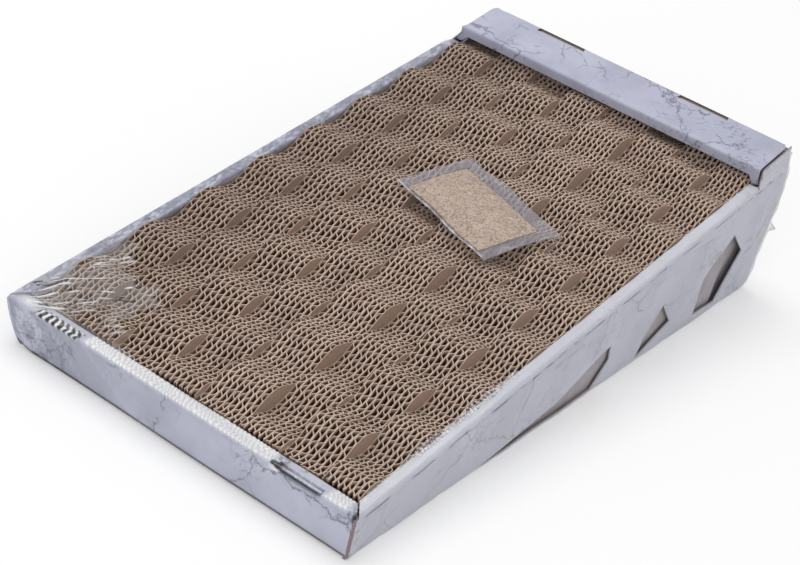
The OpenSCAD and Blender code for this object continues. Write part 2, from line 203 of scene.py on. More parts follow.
class ScratcherFilm(bpy.types.PropertyGroup):
    gap: length("Gap", "Distance of the film from the board", 0.12 * MM)
    sheet: length("Sheet", "Thickness of the film", 0.04 * MM)
    cell: length("Cell", "Spacing of the points on the film", 2.6 * MM)
    wrinkle: length("Wrinkle", "Height of the film's folds", 0.35 * MM)
    rib_pitch: length("Rib Pitch", "Spacing of the ribs in the white band on the front rim", 2.9 * MM)
    fan_reach: length("Fan Reach", "How far the pleats run from the front left corner", 88 * MM)
    pleats: count("Pleats", "Number of pleats in that fan", 64)
    spike: length("Spike", "Reach of the film's torn fin at the back right corner", 5.5 * MM)
    # The film's bright creases are painted highlights and its dark creases painted reflections of the dark
    # board
    colour: paint("Film", "Colour of the film's bright creases", "#fdfdff")
    dark_colour: paint("Dark Film", "Colour of the film's dark creases", "#131112")
    haze: share("Haze", "Opacity of the flat clear film", 0.006)
    # The whiteness of the film on the right side and its rim is a painted sheen
    glaze: share("Glaze", "Whiteness of the film on the right side", 0.13)
    rim_glaze: share("Rim Glaze", "How much whiter it is on that side's rim", 0.12)


class ScratcherStage(bpy.types.PropertyGroup):
    camera_place: spot("Camera", "Place of the camera", (0.502138, -0.905183, 0.618649))
    camera_target: spot("Target", "Point that the camera looks at", (0.020253, -0.058595, 0.05))
    camera_roll: turn("Roll", "Turn of the camera about its axis", 13.513)
    camera_lens: bpy.props.FloatProperty(name="Lens", description="Focal length in millimetres",
                                         default=87.143)
    floor_size: length("Floor", "Side of the floor", 12.0)
    floor_glow: share("Floor Glow", "Light that the floor gives off where the camera sees it", 0.24)
    sky_light: share("Sky Light", "Strength of the white sky as a lamp", 0.58)


# Blocks of the pad from left to right: their edges as shares of the pad's half width, their boards, and as
# shares of the sizes above the mean level, the wave's half height, the place of its first crest and its
# length
EDGE_SHARES = (-1, -0.737, -0.479, -0.211, 0.039, 0.307, 0.545, 0.795, 1)
BOARDS = (8, 8, 8, 8, 9, 8, 8, 7)
LEVEL_SHARES = (-0.5, -0.67, -0.31, -0.47, 0.25, -1, 0.08, -0.67)
WAVE_SHARES = (0.99, 0.93, 1.06, 1, 0.955, 0.92, 1.136, 1.064)
CREST_SHARES = (0.996, 0.396, 0.866, 0.32, 0.812, 0.326, 0.881, 0.426)
PITCH_SHARES = (1.021, 1.018, 1.005, 1.006, 0.998, 0.99, 0.99, 1.007)


def settings(group):
    """The scene's property group of that name: the sizes, colours and shares of one sub-part."""
    return getattr(bpy.context.scene, "scratcher_" + group)


def linear(hex_colour, tint=1):
    """Linear RGBA of an sRGB hex value, times a tint: each channel's power curve, straight near black."""
    values = np.array([int(hex_colour[i:i + 2], 16) / 255 for i in (1, 3, 5)])
    curve = np.where(values <= 0.04045, values / 12.92, ((values + 0.055) / 1.055) ** 2.4)
    return (*curve * tint, 1)


def add_node(tree, kind, inputs=(), **properties):
    """Adds one node with its properties. Its inputs, by name or in the node's own order, are set to a value
    or linked to a socket or to a node's first output in use."""
    new = tree.nodes.new("ShaderNode" + kind)
    for name, value in properties.items():
        setattr(new, name, value)
    for name, value in inputs.items() if isinstance(inputs, dict) else enumerate(inputs):
        if isinstance(value, bpy.types.Node):
            value = next(socket for socket in value.outputs if socket.enabled)
        if isinstance(value, bpy.types.NodeSocket):
            tree.links.new(value, new.inputs[name])
        else:
            new.inputs[name].default_value = value
    return new


def new_material(name):
    """Makes an empty material, and gives the function that adds nodes to it."""
    material = bpy.data.materials.new(name)
    material.use_nodes = True
    material.node_tree.nodes.clear()
    return partial(add_node, material.node_tree)


def noise(u, v, wavelengths, seed):
    """Mean of a few sine waves over u and v, each with a random direction and phase, and its wavelength in
    millimetres."""
    rng = np.random.default_rng(SEED + seed)
    total = np.zeros(np.broadcast(u, v).shape)
    for wavelength in wavelengths:
        angle, phase = rng.uniform(0, 2 * math.pi, 2)
        total += np.sin(2 * math.pi * (u * math.cos(angle) + v * math.sin(angle)) / (wavelength * MM) + phase)
    return total / len(wavelengths)


def ridges(u, v, wavelengths, seed, sharp=3):
    """Thin lines where a noise passes through 0: (1 - sharp |noise|)2, clipped at 0."""
    return np.clip(1 - sharp * np.abs(noise(u, v, wavelengths, seed)), 0, 1) ** 2


def bell(distance, width, power=2):
    """1 at distance 0, and exp(-(distance / width)^power) away from it."""
    return np.exp(-(distance / width) ** power)


def ramp(value, start, end):
    """0 before start, 1 after end, and the smooth curve 3t2 - 2t3 between them."""
    t = np.clip((value - start) / (end - start), 0, 1)
    return t * t * (3 - 2 * t)


def on_slope(x, s, n):
    """Points of the rims' frame: s up the slope from the front, n out of the plane of the rims."""
    c, k = math.cos(RIM_SLOPE), math.sin(RIM_SLOPE)
    return np.stack(np.broadcast_arrays(x, FRONT_Y + s * c - n * k, FRONT_H + s * k + n * c), axis=-1)


def to_slope(y, z):
    """s and n of points given by their y and z."""
    c, k = math.cos(RIM_SLOPE), math.sin(RIM_SLOPE)
    dy, dz = np.asarray(y) - FRONT_Y, np.asarray(z) - FRONT_H
    return dy * c + dz * k, dz * c - dy * k


# Share of the left side's lean that the right side has, and of the crush that runs along the tray
RIGHT_LEAN = 0.15
LONG_CRUSH = 0.35


def film_squeeze(points):
    """The tray as the tight film pulls it: the left ear and header end lean in above the rims, and the
    right ones a little, by lean times ramps in x, y and n, and the front left corner is drawn in at the
    floor, by crush times ramps in x, y and z."""
    tray = settings("tray")
    x, y, z = points[..., 0], points[..., 1], points[..., 2]
    over_rims = ramp(y, HEADER_Y - 6 * MM, HEADER_Y + 3 * MM) * ramp(to_slope(y, z)[1], -8 * MM, 11 * MM)
    left, right = (ramp(side * x, 78 * MM, HALF_W) for side in (-1, 1))
    low = np.clip(1 - z / FRONT_H, 0, 1) ** 1.6
    crush = tray.crush * ramp(-x, 0.82 * HALF_W, HALF_W) * (1 - ramp(y - FRONT_Y, 0, 90 * MM)) * low
    moved = points.copy()
    moved[..., 0] += tray.lean * over_rims * (left - RIGHT_LEAN * right) + crush
    moved[..., 1] += LONG_CRUSH * crush * (1 - ramp(y - FRONT_Y, 0, 60 * MM))
    return moved


def link_mesh(mesh, body, materials, replaces):
    """Makes the object of a finished mesh: its materials, the body that it rides on and the CAD nodes it
    replaces."""
    piece = bpy.data.objects.new(mesh.name, mesh)
    bpy.context.scene.collection.objects.link(piece)
    for material in materials:
        mesh.materials.append(bpy.data.materials[material])
    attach(piece, body)
    if replaces:
        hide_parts(*replaces)


def quad_mesh(name, points, faces, material_index=None, smooth=False, uv=None):
    """A mesh of arrays: points (n, 3), faces (m, 3) or (m, 4) or a list of both, and one material index a
    face and one UV pair a corner."""
    mesh = bpy.data.meshes.new(name)
    points = np.asarray(points, np.float32).reshape(-1, 3)
    groups = [np.asarray(group, np.int32) for group in (faces if isinstance(faces, list) else [faces])]
    loops = np.concatenate([group.ravel() for group in groups])
    sizes = np.concatenate([np.full(len(group), group.shape[1], np.int32) for group in groups])
    mesh.vertices.add(len(points))
    mesh.vertices.foreach_set("co", points.ravel())
    mesh.loops.add(len(loops))
    mesh.loops.foreach_set("vertex_index", loops)
    mesh.polygons.add(len(sizes))
    mesh.polygons.foreach_set("loop_start", np.concatenate([[0], np.cumsum(sizes)[:-1]]).astype(np.int32))
    mesh.polygons.foreach_set("loop_total", sizes)
    if material_index is not None:
        mesh.polygons.foreach_set("material_index", np.asarray(material_index, np.int32))
    mesh.polygons.foreach_set("use_smooth", np.full(len(sizes), smooth))
    if uv is not None:
        mesh.uv_layers.new(name="board").data.foreach_set("uv", np.asarray(uv, np.float32).ravel())
    mesh.update()
    mesh.validate()
    return mesh


def set_attribute(mesh, name, values):
    """Stores one number for each vertex of a mesh, which its finish reads."""
    values = np.asarray(values, np.float32).ravel()
    mesh.attributes.new(name, "FLOAT", "POINT").data.foreach_set("value", values)


def inside(points, loop):
    """Which points lie in a closed outline: the count of its edges to the right of each is odd."""
    a, b = loop, np.roll(loop, -1, axis=0)
    px, py = points[:, None, 0], points[:, None, 1]
    spans = (a[None, :, 1] > py) != (b[None, :, 1] > py)
    rise = np.where(b[:, 1] == a[:, 1], 1, b[:, 1] - a[:, 1])
    cross = a[None, :, 0] + (py - a[None, :, 1]) * (b[:, 0] - a[:, 0])[None] / rise[None]
    return (spans & (px < cross)).sum(1) % 2 == 1


def edge_distance(points, loop):
    """Distance of each point from the nearest edge of an outline."""
    a, d = loop, np.roll(loop, -1, axis=0) - loop
    least = 1e-18
    t = ((points[:, None] - a[None]) * d[None]).sum(2) / np.maximum((d * d).sum(1), least)[None]
    return np.linalg.norm(points[:, None] - (a[None] + np.clip(t, 0, 1)[..., None] * d[None]), axis=2).min(1)


def cut_loop(loop, us, vs):
    """An outline with a point wherever one of its edges crosses a grid line."""
    cut = []
    for a, b in zip(loop, np.roll(loop, -1, axis=0)):
        d = b - a
        steps = [(np.asarray(lines) - a[k]) / d[k] for k, lines in ((0, us), (1, vs)) if abs(d[k]) > 1e-9]
        t = np.unique(np.round(np.concatenate([[0.0], *steps]), 9))
        t = t[(t >= 0) & (t < 1)]
        t = t[np.concatenate([[True], np.diff(t) * np.linalg.norm(d) > LEAST_EDGE])]
        t = t[(1 - t) * np.linalg.norm(d) > LEAST_EDGE] if len(t) > 1 else t
        cut.append(a + t[:, None] * d)
    return np.concatenate(cut)


def board_sheet(name, outline, holes, us, vs, place, thickness, hole_edge=2, crease=None):
    """A board cut from a flat blank: the outline and its holes are triangulated over the grid us by vs,
    place() folds the blank's points to the outer face and gives its normals, and the inner face lies
    thickness behind. Faces have material 0 outside, 1 inside, 2 on the outline's cut edge and hole_edge on
    the holes' edges, where UV runs along the edge and across it. crease() gives a number for each point of
    the blank, stored on both faces."""
    loops = [cut_loop(np.asarray(loop, float), us, vs) for loop in (outline, *holes)]
    grid = np.stack(np.meshgrid(us, vs, indexing="ij"), -1).reshape(-1, 2)
    keep = inside(grid, loops[0])
    for k, loop in enumerate(loops):
        if k:
            keep &= ~inside(grid, loop)
        keep &= edge_distance(grid, loop) > CLEAR
    flat = np.concatenate([*loops, grid[keep]])
    edges, start = [], 0
    for loop in loops:
        index = start + np.arange(len(loop))
        edges.append(np.stack([index, np.roll(index, -1)], 1))
        start += len(loop)
    # The blank is triangulated in millimetres, where the tolerance of the triangulation is finer than any
    # edge
    made = delaunay_2d_cdt([Vector(p) for p in flat / MM], np.concatenate(edges).tolist(), [], 0, 1e-5)
    flat = np.array([tuple(p) for p in made[0]]) * MM
    faces = np.array(made[2])
    centre = flat[faces].mean(1)
    keep = inside(centre, loops[0])
    for loop in loops[1:]:
        keep &= ~inside(centre, loop)
    faces = faces[keep]
    outer, normal = place(flat)
    a, b, c = (outer[faces[:, k]] for k in range(3))
    if (np.cross(b - a, c - a) * normal[faces[:, 0]]).sum() < 0:
        faces = faces[:, ::-1]
    depth = thickness(flat) if callable(thickness) else thickness
    inner = outer - normal * np.broadcast_to(depth, len(flat))[:, None]
    count = len(flat)
    sides = np.concatenate([faces[:, [k, (k + 1) % 3]] for k in range(3)])
    code, back = sides[:, 0] * count + sides[:, 1], sides[:, 1] * count + sides[:, 0]
    rim = sides[~np.isin(code, back)]
    walls = np.stack([rim[:, 1], rim[:, 0], rim[:, 0] + count, rim[:, 1] + count], 1)
    along = flat[rim[:, 1]] - flat[rim[:, 0]]
    along /= np.linalg.norm(along, axis=1)[:, None]
    first, last = (flat[rim[:, 0]] * along).sum(1), (flat[rim[:, 1]] * along).sum(1)
    zero, one = np.zeros(len(rim)), np.ones(len(rim))
    corners = ((last, zero), (first, zero), (first, one), (last, one))
    wall_uv = np.stack([np.stack(corner, 1) for corner in corners], 1)
    uv = np.concatenate([part.reshape(-1, 2) for part in (flat[faces], flat[faces[:, ::-1]], wall_uv)])
    on_outline = edge_distance(flat[rim].mean(1), loops[0]) < 0.01 * MM
    index = np.concatenate([np.zeros(len(faces)), np.ones(len(faces)), np.where(on_outline, 2, hole_edge)])
    mesh = quad_mesh(name, film_squeeze(np.concatenate([outer, inner])),
                     [faces, faces[:, ::-1] + count, walls], index, True, uv)
    mesh.set_sharp_from_angle(angle=SHARP_ANGLE)
    if crease:
        set_attribute(mesh, "crease", np.tile(crease(flat), 2))
    return mesh


def board_copy(name, node, cell, bulge):
    """A copy of a flat CAD board: its doubles merged, cut into cells by planes along X, Y and Z, and
    squeezed. In front of the header a bulge moves the board out along X, from nothing 3 mm under the rim to
    its full size 9 mm further down."""
    made = bmesh.new()
    made.from_mesh(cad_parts[node].data)
    bmesh.ops.remove_doubles(made, verts=made.verts, dist=0.01 * MM)
    low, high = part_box(node)
    for axis in range(3):
        for place in np.arange(low[axis] + cell, high[axis] - 0.3 * cell, cell):
            unit = Vector([float(k == axis) for k in range(3)])
            bmesh.ops.bisect_plane(made, geom=made.verts[:] + made.edges[:] + made.faces[:], dist=0.001 * MM,
                                   plane_co=place * unit, plane_no=unit)
    bmesh.ops.triangulate(made, faces=made.faces[:])
    mesh = bpy.data.meshes.new(name)
    made.to_mesh(mesh)
    made.free()
    points = mesh_points(mesh)
    depth = -to_slope(points[:, 1], points[:, 2])[1]
    in_front = 1 - ramp(points[:, 1], HEADER_Y - 16 * MM, HEADER_Y - 4 * MM)
    points[:, 0] += bulge * ramp(depth, 3 * MM, 12 * MM) * in_front
    mesh.vertices.foreach_set("co", film_squeeze(points).astype(np.float32).ravel())
    mesh.update()
    return mesh


def fold(m, radius):
    """A quarter bend of a blank at m = 0 to m = radius * pi / 2: (forward, up) of the outer face and of its
    normal. Before the bend the face runs straight up, after it straight forward."""
    angle = np.clip(m / radius, 0, math.pi / 2)
    past = np.maximum(m - radius * math.pi / 2, 0)
    forward = radius * (1 - np.cos(angle)) + past
    up = np.minimum(m, 0) + radius * np.sin(angle)
    return forward, up, -np.cos(angle), np.sin(angle)


def fold_rows(radius):
    """Where a quarter bend of a blank has its rows of points."""
    return radius * math.pi / 2 * np.arange(FOLD_STEPS + 1) / FOLD_STEPS


# Claw windows of the side walls: distance from the tray's front, foot, length and height in millimetres,
# and the outline as shares of that length and height
CLAW_WINDOWS = (
    ((117, 3), (138, 27),
     ((0, 0), (0.57, 0.34), (0.88, 0.89), (0.98, 1), (1, 0.57), (0.89, 0.01), (0.48, 0.01))),
    ((293, 4), (38, 32), ((0, 0), (0.1, 0.43), (0.52, 1), (1, 0.41))),
    ((366, 7), (53, 51), ((0, 0.03), (0, 0.55), (0.15, 0.69), (0.58, 1), (1, 0.62), (0.59, 0))),
)


def window_loops():
    """Outlines of the claw windows in the rims' frame."""
    loops = []
    for corner, size, shares in CLAW_WINDOWS:
        points = (np.array(corner) + np.array(size) * np.array(shares)) * MM
        loops.append(np.stack(to_slope(points[:, 0] + FRONT_Y, points[:, 1]), 1))
    return loops


def rolled(m, radius, width):
    """A rolled rim of a blank: a quarter bend, a flat of the rim's width less both bends, and a quarter
    bend down. Gives (forward, up) of the outer face from the foot of the first bend, and of its normal."""
    forward, up, nf, nu = fold(m, radius)
    second = m - radius * math.pi / 2 - (width - 2 * radius)
    angle = np.clip(second / radius, 0, math.pi / 2)
    down = np.maximum(second - radius * math.pi / 2, 0)
    turned = second > 0
    forward = np.where(turned, width - radius + radius * np.sin(angle), forward)
    up = np.where(turned, radius * np.cos(angle) - down, up)
    return forward, up, np.where(turned, np.sin(angle), nf), np.where(turned, np.cos(angle), nu)


def rolled_rows(radius, width, last):
    """Rows of the blank across a rolled rim, from the foot of its first bend to its end."""
    first, flat = fold_rows(radius), width - 2 * radius
    end = first[-1] + flat
    return np.concatenate([first, [first[-1] + flat / 2], end + first, [last]])


def rim_blank_end(radius, width):
    """Length of blank from the foot of the first bend to the rim's inner edge, one board below its top."""
    return radius * math.pi + (width - 2 * radius) + BOARD_T - radius


# A wall's bend into the base: how far it draws in at the floor, and the height where that starts
FOOT_REACH = 1.7 * MM
FOOT_RISE = 2.5 * MM


def foot_bend(height):
    """How far a wall draws in at a height, where it bends into the base: its reach times (1 - height /
    rise)2."""
    return FOOT_REACH * np.clip(1 - height / FOOT_RISE, 0, 1) ** 2


# Lock slots: distance from the tray's side, length and depth
FRONT_SLOT = (24 * MM, 31 * MM, 5 * MM)
HEADER_SLOT = (48 * MM, 39 * MM, 5 * MM)
# How far the left ear is pressed down, and how far the ends of the header's lip hang down past its edge
EAR_TUCK = 1.8 * MM
LIP_REACH = 4.9 * MM


def slot_loops(slot, start, end, taper):
    """Outlines of both lock slots of a blank, from start to end along it and narrower by the taper at their
    end."""
    inset, span = slot[:2]
    near, far = HALF_W - inset - span, HALF_W - inset
    return [[[min(a, b), start], [max(a, b), start], [max(a, b) - taper, end], [min(a, b) + taper, end]]
            for a, b in ((-near, -far), (near, far))]


def side_blank(side):
    """A side wall with its raised ear and rolled rim, from one blank: s runs along the fold, m across it."""
    tray = settings("tray")
    r, width = tray.fold_radius, HALF_W - PAD_ROOM
    c, k = math.cos(RIM_SLOPE), math.sin(RIM_SLOPE)
    ear_gap = 0.3 * MM
    notch = (HEADER_Y - FRONT_Y - r * k) / c
    last = rim_blank_end(r, width) - r
    flat_start, flat_end = r * math.pi / 2 - r, r * math.pi / 2 - r + width - 2 * r
    # The left ear is pressed down and in under the end of the header
    tucked = EAR_TUCK * (side < 0)
    corners = np.stack(to_slope([FRONT_Y, BASE_BACK_Y, BACK_Y, HINGE_Y, HEADER_Y],
                                [0, 0, BACK_FOLD_Z, HINGE_Z - tucked, WALL_FRONT_Z - tucked]), 1)
    # Along the front the rim is mitred against the front rim
    mitred = [[1 * MM + FRONT_RIM_W * w / width, m]
              for w, m in ((width, last), (width - r, flat_end), (r, flat_start), (0, -r))]
    outline = np.concatenate([corners, [[notch, -r], [notch - ear_gap, -r], [notch - ear_gap, last]],
                              mitred, [[-r * k / c, -r]]])
    rows = np.concatenate([np.arange(-120 * MM, -r - 2 * MM, tray.cell), [-r - 2 * MM],
                           rolled_rows(r, width, last + r) - r, np.arange(4 * MM, 20 * MM, 4 * MM)])
    columns = np.arange(-8 * MM, 470 * MM, tray.cell)

    def place(flat):
        s, m = flat.T
        folded = s < notch - ear_gap / 2
        forward, up, nf, nu = rolled(m + r, r, width)
        forward, up = np.where(folded, forward, 0), np.where(folded, up, m + r)
        nf, nu = np.where(folded, nf, -1), np.where(folded, nu, 0)
        bow = tray.bow * (1 - ramp(m, -14 * MM, -r)) * noise(s, m, (310, 170, 110, 73), side)
        dent = 0.22 * MM * ramp(m, -r, 0) * folded * noise(s, m * 3, (120, 50, 27), 5 + side)
        drawn = 1.1 * tucked * ramp(m, -r, 9 * MM) * ~folded
        points = on_slope(side * (HALF_W - forward + bow - drawn), s, -r + up + dent)
        points[:, 0] -= side * foot_bend(points[:, 2]) * (1 - folded * ramp(m, -2 * r, -r))
        return points, np.stack([-side * nf, -k * nu, c * nu], 1)

    def thickness(flat):
        s, m = flat.T
        folded = s < notch
        # The board is crushed thin by the die round the windows and along the ear, and at the fold
        near = np.min([edge_distance(flat, loop) for loop in window_loops()], axis=0)
        crushed = np.maximum(ramp(m, -12 * MM, -4 * MM) * ~folded, 1 - ramp(near, 0.5 * MM, 4 * MM))
        creased = ramp(m, -r - 3 * MM, -r) * folded
        return BOARD_T - (BOARD_T - 0.8 * r) * creased - (BOARD_T - 0.9 * MM) * crushed

    return dict(outline=outline, holes=window_loops(), us=columns, vs=np.unique(rows), place=place,
                thickness=thickness)


def front_blank():
    """The front wall and its rolled rim with both lock slots, from one blank: x along the fold, m across
    it."""
    tray = settings("tray")
    r, width = tray.fold_radius, FRONT_RIM_W
    last = rim_blank_end(r, width)
    half, bottom = HALF_W - BOARD_T, -(FRONT_H - r)
    flat_start, flat_end = r * math.pi / 2, r * math.pi / 2 + width - 2 * r

    def edge(y):
        return HALF_W - 0.35 * MM - (HALF_W - PAD_ROOM) / width * y

    right = [[half, bottom], [half, 0], [edge(0) - 0.2 * MM, 0.2 * MM], [edge(r), flat_start],
             [edge(width - r), flat_end], [edge(width), last]]
    outline = np.array([[-x, m] for x, m in right] + right[::-1])
    slots = slot_loops(FRONT_SLOT, 0.4 * MM, flat_start + FRONT_SLOT[2] - r, 0.6 * MM)
    rows = np.concatenate([bottom + np.array([0.5, 1, 1.5, 2.2]) * MM,
                           np.arange(bottom + 5 * MM, -3 * MM, tray.cell * 0.7), [-2 * MM],
                           rolled_rows(r, width, last)])
    columns = np.arange(-HALF_W + 3 * MM, HALF_W, tray.cell * 0.8)

    def place(flat):
        x, m = flat.T
        forward, up, nf, nu = rolled(m, r, width)
        bow = tray.bow * (1 - ramp(m, -8 * MM, 0)) * noise(x, m, (270, 120, 70), 11)
        dent = 0.2 * MM * ramp(m, 0, 2 * MM) * noise(x, m * 2, (90, 40, 21), 12)
        points = np.stack([x, FRONT_Y + forward - bow, FRONT_H - r + up + dent], 1)
        points[:, 1] += foot_bend(points[:, 2])
        return points, np.stack([0 * x, nf, nu], 1)

    def thickness(flat):
        return BOARD_T - (BOARD_T - 0.8 * r) * ramp(flat[:, 1], -3 * MM, 0)

    return dict(outline=outline, holes=slots, us=columns, vs=np.unique(rows), place=place,
                thickness=thickness)


def back_faces(z):
    """y of the back wall's lower and upper sloping faces at a height, each carried on past their fold."""
    lower = BASE_BACK_Y + (BACK_Y - BASE_BACK_Y) * z / BACK_FOLD_Z
    return lower, BACK_Y - (BACK_Y - HINGE_Y) * (z - BACK_FOLD_Z) / (HINGE_Z - BACK_FOLD_Z)


def back_blank():
    """The folded back wall: x across, z up, and y the soft lower envelope of its two sloping faces."""
    tray = settings("tray")
    half, top = HALF_W - BOARD_T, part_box("back_wall")[1].z
    soft, step = 0.9 * MM, 0.01 * MM

    def face(z):
        lower, upper = back_faces(z)
        low = np.minimum(lower, upper)
        return low - soft * np.log(np.exp(-(lower - low) / soft) + np.exp(-(upper - low) / soft))

    rows = np.concatenate([np.arange(0, BACK_FOLD_Z - 4 * MM, tray.cell),
                           BACK_FOLD_Z + np.array([-3, -1.5, -0.6, 0, 0.6, 1.5, 3]) * MM,
                           np.arange(BACK_FOLD_Z + 6 * MM, top, tray.cell * 0.7)])

    def place(flat):
        x, z = flat.T
        bow = tray.bow * ramp(z, 0, 10 * MM) * (1 - ramp(z, top - 14 * MM, top))
        bow *= noise(x, z, (300, 150, 90), 21)
        rise = (face(z + step) - face(z - step)) / (2 * step)
        normal = np.stack([0 * x, 0 * x + 1, -rise], 1)
        return np.stack([x, face(z) + bow, z], 1), normal / np.linalg.norm(normal, axis=1)[:, None]

    outline = [[-half, 0], [half, 0], [half, top], [-half, top]]
    columns = np.arange(-half + tray.cell, half, tray.cell)
    return dict(outline=outline, holes=[], us=columns, vs=rows, place=place, thickness=BOARD_T)


def header_blank():
    """The header and its lip, from one blank: x along the hinge, m from the lip's fold back to the hinge
    fold. It starts with the lip that hangs down, bends over the front edge, and bends down again at the
    hinge."""
    tray = settings("tray")
    r, half = tray.fold_radius, HEADER_HALF_W
    c, k = math.cos(HEADER_SLOPE), math.sin(HEADER_SLOPE)
    lip, last = LIP_DROP / c - r, rim_blank_end(r, HEADER_REACH)
    flat_end = r * math.pi / 2 + HEADER_REACH - 2 * r
    # The lip's ends reach down to the rims, and the left end out over the tucked ear
    lip_r, back_r = 1.2 * MM, 7.5 * MM
    turn = np.linspace(0, math.pi / 2, 6)
    foot = [[half - 7 * MM, -lip], [half - 4.5 * MM, -lip - LIP_REACH]]
    lower = np.stack([half - lip_r * (1 - np.sin(turn)), -lip + lip_r * (1 - np.cos(turn)) - LIP_REACH], 1)
    upper = np.stack([half - back_r * (1 - np.cos(turn)), last - back_r * (1 - np.sin(turn))], 1)
    right = np.concatenate([foot, lower, upper])
    outline = np.concatenate([right * [-1, 1] - [1.7 * MM, 0], right[::-1]])
    slots = slot_loops(HEADER_SLOT, flat_end + r - HEADER_SLOT[2], flat_end + 0.7 * r, 1 * MM)
    rows = np.concatenate([[-lip - 2.4 * MM, -lip, -lip / 2], rolled_rows(r, HEADER_REACH, last),
                           np.arange(6 * MM, flat_end - 3 * MM, 7 * MM)])
    columns = np.arange(-half + 3 * MM, half, tray.cell * 0.7)

    def place(flat):
        x, m = flat.T
        forward, up, nf, nu = rolled(m, r, HEADER_REACH)
        bow = 0.4 * MM * ramp(m, 0, 8 * MM) * (1 - ramp(m, flat_end - 8 * MM, flat_end))
        n = -r + up + bow * noise(x, m, (210, 100, 60), 31)
        back = HEADER_REACH - forward
        points = np.stack([x, HINGE_Y - back * c - n * k, HINGE_Z - back * k + n * c], 1)
        return points, np.stack([0 * x, nf * c - nu * k, nf * k + nu * c], 1)

    return dict(outline=outline, holes=slots, us=columns, vs=np.unique(rows), place=place,
                thickness=lambda flat: np.full(len(flat), 0.6 * r))


def ribbon_faces(ribbons, stations):
    """Quads of closed ribbons: each station has four points, left and right at the foot, then right and
    left at the top, and the two end stations are closed."""
    ring = np.arange(4)
    first = (np.arange(ribbons)[:, None, None] * stations + np.arange(stations - 1)[None, :, None]) * 4
    a, b = first + ring, first + (ring + 1) % 4
    sides = np.stack([a, a + 4, b + 4, b], -1).reshape(-1, 4)
    starts = np.arange(ribbons)[:, None] * stations * 4
    front = starts + ring[None]
    back = starts + (stations - 1) * 4 + ring[None, ::-1]
    return np.concatenate([sides, front, back])


def wave_height(block, s):
    """Height of a block's cut edge over the rims at s up the slope: its level plus a cosine wave, whose
    crests stand nearly opposite the next block's."""
    pad = settings("pad")
    turns = (s - CREST_SHARES[block] * pad.wave_pitch) / (PITCH_SHARES[block] * pad.wave_pitch)
    height = pad.wave_rise * WAVE_SHARES[block] * np.cos(2 * math.pi * turns)
    height += pad.level_spread * LEVEL_SHARES[block]
    # The tray's front rim presses the first centimetre down to just under its own level
    pressed = 1 - ramp(s, FRONT_RIM_W, FRONT_RIM_W + 11 * MM)
    return height - pressed * np.maximum(height + 0.8 * MM, 0)


